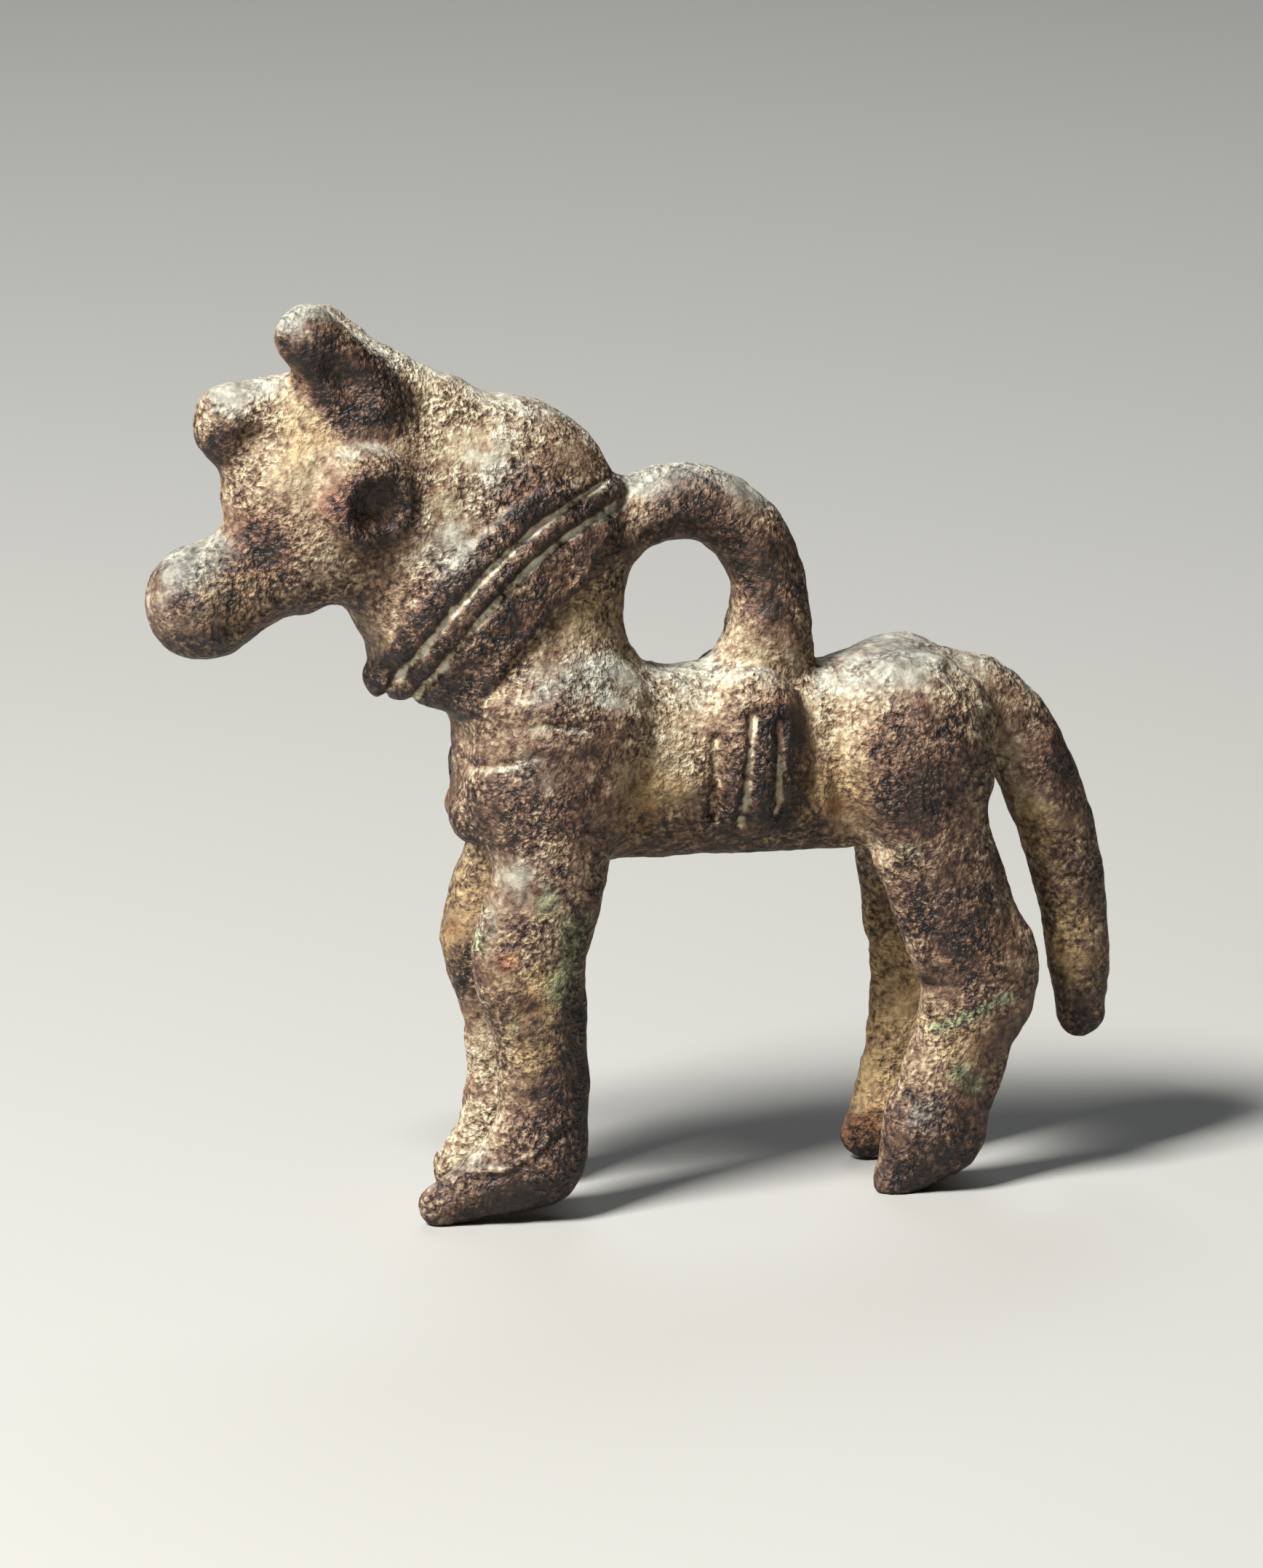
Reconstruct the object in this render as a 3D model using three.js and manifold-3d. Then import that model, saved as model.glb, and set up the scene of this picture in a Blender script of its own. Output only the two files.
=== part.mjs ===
// A small bronze horse, cast solid in one piece with the hanging loop on its withers.
// Millimetres. The horse faces -X, its left flank faces -Y, and it stands on the plane z = 0.
// The body is one continuous form: rounded masses that flow into each other, with the harness
// and the ribs cut in as grooves. Its surface is traced, thinned to few faces, and cut flat below.
import * as THREE from "three";
import { mergeVertices } from "three/addons/utils/BufferGeometryUtils.js";
import Module from "manifold-3d";

// Driving dimensions
const LEG_SPREAD = 3.3; // from the middle plane to the middle of a leg
const LOOP = { x: 2.0, z: 31.4, halfWidth: 5.0, halfHeight: 5.5, wire: 1.97 };
const FACE_BUDGET = 9400;
const FAR = 60; // larger than anything on the horse

// Soft joins between masses: how wide the fillet is
const TIGHT = 0.5;
const CRISP = 0.7;
const SOFT = 1.2;
const FLOWING = 2.4;

// Distances to the basic masses. A point is [x, y, z]; the distance is negative inside.
const TINY = 1e-9;
const NEARBY = 3; // past this from a limb's own box, the distance to the box will do
const BARS_PER_SPAN = 3;

// An egg with three radii, leaned in the x-z plane by an angle in degrees.
function egg(centre, radii, lean = 0) {
  const turn = THREE.MathUtils.degToRad(lean);
  const [c, s] = [Math.cos(turn), Math.sin(turn)];
  return (p) => {
    const [dx, dy, dz] = [p[0] - centre[0], p[1] - centre[1], p[2] - centre[2]];
    const u = (c * dx + s * dz) / radii[0];
    const v = dy / radii[1];
    const w = (-s * dx + c * dz) / radii[2];
    const k = Math.hypot(u, v, w);
    const slope = Math.hypot(u / radii[0], v / radii[1], w / radii[2]);
    return slope < TINY ? -Math.min(...radii) : (k * (k - 1)) / slope;
  };
}

// A tapering bar with round ends, squeezed sideways about its own axis by `flat`.
function bar(from, fromRadius, to, toRadius, flat = 1) {
  const axis = [to[0] - from[0], (to[1] - from[1]) / flat, to[2] - from[2]];
  const length2 = axis[0] ** 2 + axis[1] ** 2 + axis[2] ** 2;
  return (p) => {
    const [dx, dy, dz] = [p[0] - from[0], (p[1] - from[1]) / flat, p[2] - from[2]];
    const along = (dx * axis[0] + dy * axis[1] + dz * axis[2]) / length2;
    const t = Math.min(1, Math.max(0, along));
    const away = Math.hypot(dx - t * axis[0], dy - t * axis[1], dz - t * axis[2]);
    const taper = fromRadius + t * (toRadius - fromRadius);
    return (away - taper) * Math.min(1, flat);
  };
}

// A limb: a smooth curve through [x, y, z, radius] stations, as short bars end to end.
function limb(stations, flat = 1) {
  const path = new THREE.CatmullRomCurve3(stations.map(([x, y, z]) => new THREE.Vector3(x, y, z)));
  const girth = new THREE.CatmullRomCurve3(stations.map((s) => new THREE.Vector3(s[3], 0, 0)));
  const count = BARS_PER_SPAN * (stations.length - 1);
  const stops = Array.from({ length: count + 1 }, (_, i) => ({
    at: path.getPoint(i / count).toArray(),
    radius: girth.getPoint(i / count).x,
  }));
  const bars = stops.slice(1).map((b, i) => bar(stops[i].at, stops[i].radius, b.at, b.radius, flat));
  const fat = Math.max(...stations.map((s) => s[3]));
  const box = new THREE.Box3().setFromPoints(path.getPoints(count)).expandByScalar(fat);
  return (p) => {
    const away = box.distanceToPoint(new THREE.Vector3(...p));
    if (away > NEARBY) return away;
    let least = FAR;
    for (const one of bars) least = Math.min(least, one(p));
    return least;
  };
}

// An upright ring of round wire in the x-z plane.
function ring({ x, z, halfWidth, halfHeight, wire }) {
  return (p) => {
    const [dx, dz] = [p[0] - x, p[2] - z];
    const [u, w] = [dx / halfWidth, dz / halfHeight];
    const k = Math.hypot(u, w);
    const slope = Math.hypot(u / halfWidth, w / halfHeight);
    const fromOval = slope < TINY ? -halfWidth : (k * (k - 1)) / slope;
    return Math.hypot(fromOval, p[1]) - wire;
  };
}

// Joins and cuts with a fillet of the given width.
function join(a, b, soft) {
  const h = Math.max(soft - Math.abs(a - b), 0) / soft;
  return Math.min(a, b) - (h * h * soft) / 4;
}

function carve(a, b, soft) {
  return -join(-a, b, soft);
}

// Strength of a groove or ridge at a distance from its middle line, 1 on the line.
function stroke(distance, halfWidth) {
  return Math.exp(-((distance / halfWidth) ** 2));
}

// 1 between two limits, falling to 0 over `fade` outside them.
function between(value, low, high, fade) {
  const rise = THREE.MathUtils.smoothstep(value, low - fade, low);
  return rise * (1 - THREE.MathUtils.smoothstep(value, high, high + fade));
}

// How far a point is, in side view, from the line between two points.
function fromLine(p, [ax, az], [bx, bz]) {
  const [dx, dz, lx, lz] = [p[0] - ax, p[2] - az, bx - ax, bz - az];
  const t = THREE.MathUtils.clamp((dx * lx + dz * lz) / (lx * lx + lz * lz), 0, 1);
  return Math.hypot(dx - t * lx, dz - t * lz);
}

// The near side of each pair is given; `both` folds the far side onto it, a little further back.
const FAR_SIDE_BACK = 0.5;

function both([x, y, z]) {
  return [x - FAR_SIDE_BACK * THREE.MathUtils.smoothstep(y, -1, 1), -Math.abs(y), z];
}

// Trunk: barrel, shoulders, chest and rump
const barrel = bar([-4.0, 0, 23.4], 5.2, [11, 0, 22.9], 4.9, 0.78);
const chest = egg([-5.6, 0, 23.6], [3.6, 3.6, 5.6]);
const shoulder = egg([-4.5, -2.5, 25.8], [5.0, 2.9, 4.0], -8);
const foreArm = egg([-5.3, -2.6, 22.8], [4.7, 2.9, 4.4]);
const upperArm = bar([-5.4, -2.9, 21.5], 3.4, [-5.9, -3.2, 16.0], 2.6, 0.8);
const chestKnob = egg([-9.15, -1.2, 21.2], [1.3, 1.6, 1.5]);
const rump = egg([14.6, 0, 24.2], [5.1, 4.2, 4.4]);
const haunch = egg([14.1, -2.6, 23.2], [4.5, 3.0, 5.5]);
const flank = egg([5.3, -2.8, 24.1], [3.0, 2.1, 4.5]);

const RIBS = [
  { top: [3.1, 25.0], foot: [3.1, 20.8] },
  { top: [4.9, 26.2], foot: [4.5, 20.3] },
  { top: [6.4, 25.8], foot: [6.4, 20.9] },
];
const RIB_GROOVE = { halfWidth: 0.42, depth: 0.5, side: 2.6, fade: 0.8 }; // cut from `side` outwards
const BREAST_LINE = {
  from: [-10.2, 23.9],
  bend: [-7.0, 24.7],
  to: [-3.6, 24.8],
  halfWidth: 0.42,
  depth: 0.2,
  side: 1.5,
  fade: 1,
};

function trunk(p) {
  const q = both(p);
  let d = join(barrel(p), chest(p), FLOWING);
  d = join(d, rump(p), FLOWING);
  d = join(d, shoulder(q), CRISP);
  d = join(d, foreArm(q), CRISP);
  d = join(d, upperArm(q), CRISP);
  d = join(d, chestKnob(q), TIGHT);
  d = join(d, haunch(q), CRISP);
  d = join(d, flank(q), CRISP);
  const onSide = ({ side, fade }) => between(-q[1], side, FAR, fade);
  for (const rib of RIBS) {
    const across = fromLine(p, rib.top, rib.foot);
    d += RIB_GROOVE.depth * stroke(across, RIB_GROOVE.halfWidth) * onSide(RIB_GROOVE);
  }
  const { from, bend, to } = BREAST_LINE;
  const across = Math.min(fromLine(p, from, bend), fromLine(p, bend, to));
  return d + BREAST_LINE.depth * stroke(across, BREAST_LINE.halfWidth) * onSide(BREAST_LINE);
}

// Neck with its hump of mane, and the harness collar round its root
const mane = egg([-7.5, 0, 37.3], [6.2, 3.5, 5.6], -14);
const throat = egg([-11.2, 0, 34.0], [4.1, 3.3, 5.0], -20);
const neckRoot = bar([-8.6, 0, 32.4], 4.6, [-5.6, 0, 28.6], 5.0, 0.8);
const withers = egg([-3.6, 0, 33.6], [2.6, 2.7, 5.2], -10);
const collarPoint = bar([-13.5, 0, 28.5], 0.8, [-10.6, 0, 29.0], 2.3, 0.9);

// The collar is a raised band along an arc in side view, with two grooves that leave three ridges.
const COLLAR = {
  centre: [3.2, 21.6],
  radius: 18.1,
  inner: -4.1,
  outer: 1.0,
  edge: 0.55,
  raise: 0.35,
  grooves: [-0.35, -1.75], // from the radius
  halfWidth: 0.42,
  depth: 0.5,
  lowest: 27,
  highest: 38.2,
  fade: 0.8,
};

function neck(p) {
  let d = join(mane(p), throat(p), FLOWING);
  d = join(d, neckRoot(p), FLOWING);
  d = join(d, withers(p), SOFT);
  d = join(d, collarPoint(p), TIGHT);
  const { centre, radius, inner, outer, edge, raise, grooves, halfWidth, depth } = COLLAR;
  const reach = Math.hypot(p[0] - centre[0], p[2] - centre[1]) - radius;
  let relief = raise * between(reach, inner, outer, edge);
  for (const middle of grooves) relief -= depth * stroke(reach - middle, halfWidth);
  return d - relief * between(p[2], COLLAR.lowest, COLLAR.highest, COLLAR.fade);
}

// Head, forelock, ears and eyes
const muzzle = limb([
  [-23.0, 0, 32.9, 3.0],
  [-20.2, 0, 34.3, 2.75],
  [-17.4, 0, 35.8, 3.6],
], 0.92);
const skull = egg([-17.3, 0, 38.6], [4.7, 3.3, 3.9], 10);
const cheek = egg([-13.6, 0, 38.2], [4.4, 3.4, 4.6]);
const forelock = bar([-21.2, 0, 42.0], 2.25, [-17.6, 0, 42.2], 2.3, 0.8);
const foreTop = egg([-20.9, -2.3, 41.6], [0.9, 0.8, 0.75]);
const nearEar = bar([-17.85, -1.6, 46.65], 1.65, [-14.6, -1.3, 43.2], 2.1, 0.75);
const farEar = bar([-16.4, 1.6, 46.2], 1.5, [-14.2, 1.3, 43.0], 2.1, 0.75);
const poll = bar([-15.8, 0.3, 45.4], 1.2, [-10.6, 0, 42.0], 2.15, 0.8);
const earHollow = egg([-16.2, -3.7, 44.4], [2.3, 1.4, 1.0], -46);
const eyeBoss = egg([-15.2, -2.8, 38.5], [2.7, 1.6, 2.75]);
const eyeSocket = egg([-14.55, -4.6, 37.9], [1.7, 1.45, 1.75]);
const nostrilNick = egg([-23.2, 0, 36.5], [0.5, 1.4, 0.45]);

function head(p) {
  const q = both(p);
  let d = join(muzzle(p), skull(p), SOFT);
  d = join(d, cheek(p), FLOWING);
  d = join(d, forelock(p), SOFT);
  d = join(d, poll(p), SOFT);
  d = join(d, Math.min(nearEar(p), farEar(p)), SOFT);
  d = join(d, eyeBoss(q), CRISP);
  d = carve(d, eyeSocket(q), TIGHT);
  d = carve(d, earHollow(q), TIGHT);
  d = carve(d, foreTop(q), TIGHT);
  return carve(d, nostrilNick(p), TIGHT);
}

// Legs: thick, with a knee or hock, ending in a long-toed or broken foot
const FLAT_FORELEG = 0.74;
const FLAT_HIND_LEG = 0.6;
const nearFore = limb([
  [-5.4, -LEG_SPREAD, 18.5, 2.7],
  [-6.75, -LEG_SPREAD, 14.2, 3.0],
  [-6.1, -LEG_SPREAD, 9.6, 2.45],
  [-6.0, -LEG_SPREAD, 5.4, 2.35],
], FLAT_FORELEG);
const nearForeFoot = bar([-11.5, -LEG_SPREAD, 0.95], 1.15, [-6.5, -LEG_SPREAD, 3.0], 2.6, 0.82);
const farFore = limb([
  [-5.6, LEG_SPREAD, 18.5, 2.7],
  [-6.8, LEG_SPREAD, 13.8, 3.0],
  [-6.1, LEG_SPREAD, 9.2, 2.45],
  [-6.0, LEG_SPREAD, 5.4, 2.35],
], FLAT_FORELEG);
const farForeFoot = bar([-9.0, LEG_SPREAD, 1.1], 1.3, [-6.4, LEG_SPREAD, 3.0], 2.65, 0.82);
const nearHind = limb([
  [14.7, -LEG_SPREAD, 19.5, 3.3],
  [16.6, -LEG_SPREAD, 14.0, 3.1],
  [17.7, -LEG_SPREAD, 11.6, 3.2],
  [16.8, -LEG_SPREAD, 8.2, 2.7],
  [15.3, -LEG_SPREAD, 3.9, 2.65],
], FLAT_HIND_LEG);
const nearHindFoot = bar([13.2, -LEG_SPREAD, 0.6], 1.3, [15.1, -LEG_SPREAD, 2.9], 2.3, 0.75);
const farHind = limb([
  [15.3, LEG_SPREAD, 19.5, 2.7],
  [15.9, LEG_SPREAD, 14.0, 2.8],
  [16.5, LEG_SPREAD, 11.6, 2.9],
  [16.2, LEG_SPREAD, 8.2, 2.6],
  [15.3, LEG_SPREAD, 3.4, 2.3],
], FLAT_HIND_LEG);
const farHindFoot = bar([13.4, LEG_SPREAD, 1.3], 1.25, [15.0, LEG_SPREAD, 2.5], 2.0, 0.75);

function legs(p) {
  let d = join(nearFore(p), nearForeFoot(p), SOFT);
  d = Math.min(d, join(farFore(p), farForeFoot(p), SOFT));
  d = Math.min(d, join(nearHind(p), nearHindFoot(p), SOFT));
  return Math.min(d, join(farHind(p), farHindFoot(p), SOFT));
}

// Tail, hanging free behind the hocks and broken off blunt
const tail = limb([
  [15.6, 0, 25.4, 2.4],
  [18.0, 0, 25.8, 2.15],
  [20.8, 0, 23.0, 2.15],
  [22.3, 0, 19.7, 2.05],
  [23.5, 0, 15.7, 1.9],
  [24.1, 0, 11.7, 1.7],
  [24.3, 0, 8.2, 1.3],
], 0.9);

const loop = ring(LOOP);
const loopFoot = bar([7.0, 0, 30.0], 1.9, [7.8, 0, 26.0], 2.0);
const saddle = egg([2.0, 0, 31.1], [2.95, 5.5, 2.7]); // the dip of the back inside the loop

function horse(p) {
  let d = join(trunk(p), neck(p), SOFT);
  d = join(d, head(p), SOFT);
  d = join(d, legs(p), TIGHT);
  d = join(d, tail(p), TIGHT);
  d = join(d, join(loop(p), loopFoot(p), SOFT), TIGHT);
  return carve(d, saddle(p), TIGHT);
}

// Tracing the surface. A cell of the grid that the surface crosses gets one point, and each grid
// edge that it crosses gets a four-sided face between the points of the cells round that edge.
const LOW = [-27.5, -7, -1.5];
const HIGH = [27.5, 7, 50.5];
const GRID_STEP = 0.28;
const BLOCK = 8; // the grid is filled in blocks of this many steps
const PROBE = 0.02; // half the length over which the field's slope is measured
const MOST_SWEEPS = 12;
const FLAT_SPOT = 0.05; // a slope squared under this gives no direction
const EVENING_ROUNDS = 3;
const FOLDED = 0.3; // least cosine between a face's direction and the surface's own

// Every whole-number triple below the three counts.
function* corners([a, b, c]) {
  for (let i = 0; i < a; i++)
    for (let j = 0; j < b; j++)
      for (let k = 0; k < c; k++) yield [i, j, k];
}

// A face of the grid whose corners lie in and out by turns would pinch the net to a line there, so
// its corner nearest the surface changes sides.
function unpinch(values, count, stride) {
  const isIn = (n) => values[n] < 0;
  for (let sweep = 0, pinched = 1; pinched && sweep < MOST_SWEEPS; sweep++) {
    pinched = 0;
    for (const [k, j, i] of corners([count[2] - 1, count[1] - 1, count[0] - 1]))
      for (let axis = 0; axis < 3; axis++) {
        const here = i + j * stride[1] + k * stride[2];
        const [s, t] = [stride[(axis + 1) % 3], stride[(axis + 2) % 3]];
        const opposite = isIn(here) === isIn(here + s + t) && isIn(here + s) === isIn(here + t);
        if (!opposite || isIn(here) === isIn(here + s)) continue;
        const four = [here, here + s, here + t, here + s + t];
        const least = four.reduce((a, b) => (Math.abs(values[a]) <= Math.abs(values[b]) ? a : b));
        values[least] = isIn(least) ? -values[least] : -values[least] - TINY;
        pinched++;
      }
  }
}

function trace(field, low, high, step) {
  const count = low.map((l, k) => Math.ceil((high[k] - l) / step) + 1);
  const stride = [1, count[0], count[0] * count[1]];
  const values = new Float32Array(count[0] * count[1] * count[2]);
  const at = (i, j, k) => i + j * stride[1] + k * stride[2];
  const place = (cell) => cell.map((n, axis) => low[axis] + n * step);
  const reach = BLOCK * step * 1.5; // a block whose middle is further than this holds no surface
  for (const [k, j, i] of corners(count.map((n) => Math.ceil(n / BLOCK)).reverse())) {
    const first = [i * BLOCK, j * BLOCK, k * BLOCK];
    const middle = field(place(first.map((n) => n + BLOCK / 2)));
    for (const [c, b, a] of corners([BLOCK, BLOCK, BLOCK])) {
      const cell = [first[0] + a, first[1] + b, first[2] + c];
      if (cell.some((n, axis) => n >= count[axis])) continue;
      values[at(...cell)] = Math.abs(middle) > reach ? middle : field(place(cell));
    }
  }
  unpinch(values, count, stride);

  const cellPoint = new Int32Array(values.length).fill(-1);
  const points = [];
  for (let k = 0; k < count[2] - 1; k++)
    for (let j = 0; j < count[1] - 1; j++)
      for (let i = 0; i < count[0] - 1; i++) {
        const sum = [0, 0, 0];
        let crossings = 0;
        for (let axis = 0; axis < 3; axis++)
          for (let corner = 0; corner < 4; corner++) {
            const start = [0, 0, 0];
            start[(axis + 1) % 3] = corner & 1;
            start[(axis + 2) % 3] = corner >> 1;
            const a = values[at(i + start[0], j + start[1], k + start[2])];
            const b = values[at(i + start[0], j + start[1], k + start[2]) + stride[axis]];
            if (a < 0 === b < 0) continue;
            start[axis] = a / (a - b);
            crossings++;
            start.forEach((s, n) => (sum[n] += s));
          }
        if (!crossings) continue;
        cellPoint[at(i, j, k)] = points.length;
        points.push([i, j, k].map((n, a) => low[a] + (n + sum[a] / crossings) * step));
      }

  const quads = [];
  for (let k = 1; k < count[2] - 1; k++)
    for (let j = 1; j < count[1] - 1; j++)
      for (let i = 1; i < count[0] - 1; i++)
        for (let axis = 0; axis < 3; axis++) {
          const here = at(i, j, k);
          const inside = values[here] < 0;
          if (inside === values[here + stride[axis]] < 0) continue;
          const [s, t] = [stride[(axis + 1) % 3], stride[(axis + 2) % 3]];
          const quad = [here - s - t, here - t, here, here - s].map((c) => cellPoint[c]);
          if (!inside) quad.reverse();
          quads.push(quad);
        }
  return { points, quads };
}

// Which way the field climbs at a point: on the surface this points straight out.
function slopeAt(field, p) {
  return [0, 1, 2].map((k) => {
    const [ahead, behind] = [p.slice(), p.slice()];
    ahead[k] += PROBE;
    behind[k] -= PROBE;
    return (field(ahead) - field(behind)) / (2 * PROBE);
  });
}

// Moves each traced point along the slope of the field, onto the surface.
function settle(field, points, step) {
  for (const p of points) {
    const slope = slopeAt(field, p);
    const steep = slope[0] ** 2 + slope[1] ** 2 + slope[2] ** 2;
    if (steep < FLAT_SPOT) continue;
    const move = THREE.MathUtils.clamp(field(p) / steep, -step / 2, step / 2);
    slope.forEach((s, k) => (p[k] -= move * s));
  }
}

// Evens out the net: each point moves to the middle of its neighbours, then back on the surface.
function even(field, { points, quads }, step) {
  const sum = points.map(() => [0, 0, 0, 0]);
  for (const quad of quads)
    quad.forEach((v, n) => {
      const next = points[quad[(n + 1) % 4]];
      next.forEach((x, k) => (sum[v][k] += x));
      sum[v][3]++;
    });
  points.forEach((p, v) => p.forEach((x, k) => (p[k] = (x + sum[v][k] / sum[v][3]) / 2)));
  settle(field, points, step);
}

const sub = (a, b) => [a[0] - b[0], a[1] - b[1], a[2] - b[2]];
const cross = (a, b) => [
  a[1] * b[2] - a[2] * b[1],
  a[2] * b[0] - a[0] * b[2],
  a[0] * b[1] - a[1] * b[0],
];
const dot = (a, b) => a[0] * b[0] + a[1] * b[1] + a[2] * b[2];
const gap2 = (a, b) => (a[0] - b[0]) ** 2 + (a[1] - b[1]) ** 2 + (a[2] - b[2]) ** 2;

// Each four-sided face as two triangles, across the diagonal that lies closer to the surface. Where
// a face is bent in on itself only one diagonal lies within it, and leaves neither half folded.
function split(field, { points, quads }) {
  const slopes = points.map((p) => slopeAt(field, p));
  const outward = slopes.map((slope) => slope.map((s) => s / Math.hypot(...slope)));
  const off = (v, w) => Math.abs(field(points[v].map((x, k) => (x + points[w][k]) / 2)));
  const facing = (face) => {
    const [a, b, c] = face.map((v) => points[v]);
    const normal = cross(sub(b, a), sub(c, a));
    const size = Math.hypot(...normal) || TINY;
    return Math.min(...face.map((v) => dot(normal, outward[v]) / size));
  };
  const faces = quads.flatMap(([a, b, c, d]) => {
    const halves = [
      [[a, b, c], [a, c, d]],
      [[a, b, d], [b, c, d]],
    ];
    const [first, second] = halves.map((pair) => Math.min(...pair.map(facing)));
    if (Math.min(first, second) < FOLDED) return halves[first >= second ? 0 : 1];
    return halves[off(a, c) <= off(b, d) ? 0 : 1];
  });
  return { points, faces, outward };
}

// Thinning: the edge whose removal changes the form least goes first. Each point carries the
// sum of its faces' planes, so the cost of a point is its squared distance to those planes.
const SPRING = 0.01; // holds a new point to the middle of the edge it replaces
const LENGTH_COST = 2e-5; // keeps long edges and crowded points from being chosen
const LEAST_FACING = 0.75; // cosine between a face's direction and the surface's own
const SLIVER = 0.2; // twice a face's area over its longest side squared

function planeSum([x, y, z], distance, weight) {
  const n = [x, y, z, distance];
  const sum = [];
  for (let i = 0; i < 4; i++) for (let j = i; j < 4; j++) sum.push(weight * n[i] * n[j]);
  return sum; // xx xy xz xd yy yz yd zz zd dd
}

function costAt(q, [x, y, z]) {
  return (
    q[0] * x * x + 2 * q[1] * x * y + 2 * q[2] * x * z + 2 * q[3] * x +
    q[4] * y * y + 2 * q[5] * y * z + 2 * q[6] * y +
    q[7] * z * z + 2 * q[8] * z + q[9]
  );
}

// The point of least cost near the middle of an edge: the planes' own lowest point, held to the
// middle by a small spring so that it can't fly off where the surface is flat.
function bestPoint(q, middle) {
  const hold = SPRING * (q[0] + q[4] + q[7]) + TINY;
  const rows = [
    [q[0] + hold, q[1], q[2]],
    [q[1], q[4] + hold, q[5]],
    [q[2], q[5], q[7] + hold],
  ];
  const right = [
    hold * middle[0] - q[3],
    hold * middle[1] - q[6],
    hold * middle[2] - q[8],
  ];
  const columns = [0, 1, 2].map((k) => rows.map((row) => row[k]));
  const whole = dot(columns[0], cross(columns[1], columns[2]));
  return [0, 1, 2].map((k) => {
    const swapped = columns.map((column, n) => (n === k ? right : column));
    return dot(swapped[0], cross(swapped[1], swapped[2])) / whole;
  });
}

// Keeps the cheapest item first.
class Queue {
  items = [];
  push(item) {
    let i = this.items.push(item) - 1;
    while (i > 0) {
      const up = (i - 1) >> 1;
      if (this.items[up].cost <= this.items[i].cost) break;
      [this.items[up], this.items[i]] = [this.items[i], this.items[up]];
      i = up;
    }
  }
  pop() {
    const first = this.items[0];
    const last = this.items.pop();
    if (!this.items.length) return first;
    this.items[0] = last;
    for (let i = 0; ; ) {
      let least = i;
      for (const child of [2 * i + 1, 2 * i + 2])
        if (child < this.items.length && this.items[child].cost < this.items[least].cost)
          least = child;
      if (least === i) return first;
      [this.items[least], this.items[i]] = [this.items[i], this.items[least]];
      i = least;
    }
  }
}

function thin({ points, faces, outward }, budget) {
  const around = points.map(() => new Set());
  const sums = points.map(() => new Array(10).fill(0));
  const version = points.map(() => 0);
  faces.forEach((face, f) => {
    const [a, b, c] = face.map((v) => points[v]);
    const normal = cross(sub(b, a), sub(c, a));
    const size = Math.hypot(...normal) || TINY;
    const unit = normal.map((n) => n / size);
    const sum = planeSum(unit, -dot(unit, a), size);
    for (const v of face) {
      around[v].add(f);
      sum.forEach((s, n) => (sums[v][n] += s));
    }
  });
  const neighbours = (v) => {
    const found = new Set();
    for (const f of around[v]) for (const w of faces[f]) if (w !== v) found.add(w);
    return found;
  };
  const queue = new Queue();
  const offer = (a, b) => {
    const q = sums[a].map((s, n) => s + sums[b][n]);
    const middle = points[a].map((s, n) => (s + points[b][n]) / 2);
    const place = bestPoint(q, middle);
    const long = gap2(points[a], points[b]);
    const cost = costAt(q, place) + LENGTH_COST * long * (around[a].size + around[b].size);
    queue.push({ cost, a, b, place, stamp: version[a] + version[b] });
  };
  points.forEach((_, a) => {
    for (const b of neighbours(a)) if (a < b) offer(a, b);
  });
  // How well a face looks outwards, and how full its shape is, each up to 1.
  const quality = (f, v, place) => {
    const [a, b, c] = faces[f].map((w) => (w === v ? place : points[w]));
    const normal = cross(sub(b, a), sub(c, a));
    const size = Math.hypot(...normal) || TINY;
    const out = faces[f].reduce((sum, w) => sum.map((s, k) => s + outward[w][k]), [0, 0, 0]);
    const longest = Math.max(gap2(a, b), gap2(b, c), gap2(c, a));
    return { facing: dot(normal, out) / (size * Math.hypot(...out)), shape: size / longest };
  };
  // A face may not be turned aside, or drawn out into a sliver, when its corner moves.
  const spoils = (v, other, place) => {
    for (const f of around[v]) {
      if (faces[f].includes(other)) continue;
      const after = quality(f, v, place);
      if (after.facing > LEAST_FACING && after.shape > SLIVER) continue;
      const before = quality(f, v, points[v]);
      if (after.facing <= LEAST_FACING && after.facing <= before.facing) return true;
      if (after.shape <= SLIVER && after.shape <= before.shape) return true;
    }
    return false;
  };
  let left = faces.length;
  while (left > budget && queue.items.length) {
    const { a, b, place, stamp } = queue.pop();
    if (!around[a].size || !around[b].size || stamp !== version[a] + version[b]) continue;
    const [nearA, nearB] = [neighbours(a), neighbours(b)];
    if (!nearA.has(b)) continue;
    const shared = [...nearA].filter((v) => nearB.has(v));
    if (shared.length !== 2 || spoils(a, b, place) || spoils(b, a, place)) continue;
    points[a] = place;
    outward[a] = outward[a].map((s, k) => s + outward[b][k]);
    outward[a] = outward[a].map((s, _, all) => s / Math.hypot(...all));
    sums[b].forEach((s, n) => (sums[a][n] += s));
    for (const f of [...around[b]]) {
      if (faces[f].includes(a)) {
        for (const v of faces[f]) around[v].delete(f);
        faces[f] = null;
        left--;
        continue;
      }
      faces[f] = faces[f].map((v) => (v === b ? a : v));
      around[a].add(f);
    }
    around[b].clear();
    version[a]++;
    for (const v of neighbours(a)) {
      version[v]++;
      offer(a, v);
    }
    for (const v of neighbours(a))
      for (const w of neighbours(v)) if (w !== a && around[w].size) offer(v, w);
  }
  const used = new Map();
  const kept = faces.filter(Boolean).map((face) =>
    face.map((v) => {
      if (!used.has(v)) used.set(v, used.size);
      return used.get(v);
    }),
  );
  return { points: [...used.keys()].map((v) => points[v]), faces: kept };
}

// Solids
const wasm = await Module();
wasm.setup();

function solid(geometry) {
  const vertProperties = new Float32Array(geometry.attributes.position.array);
  const triVerts = new Uint32Array(geometry.index.array);
  return new wasm.Manifold(new wasm.Mesh({ numProp: 3, vertProperties, triVerts }));
}

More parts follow.
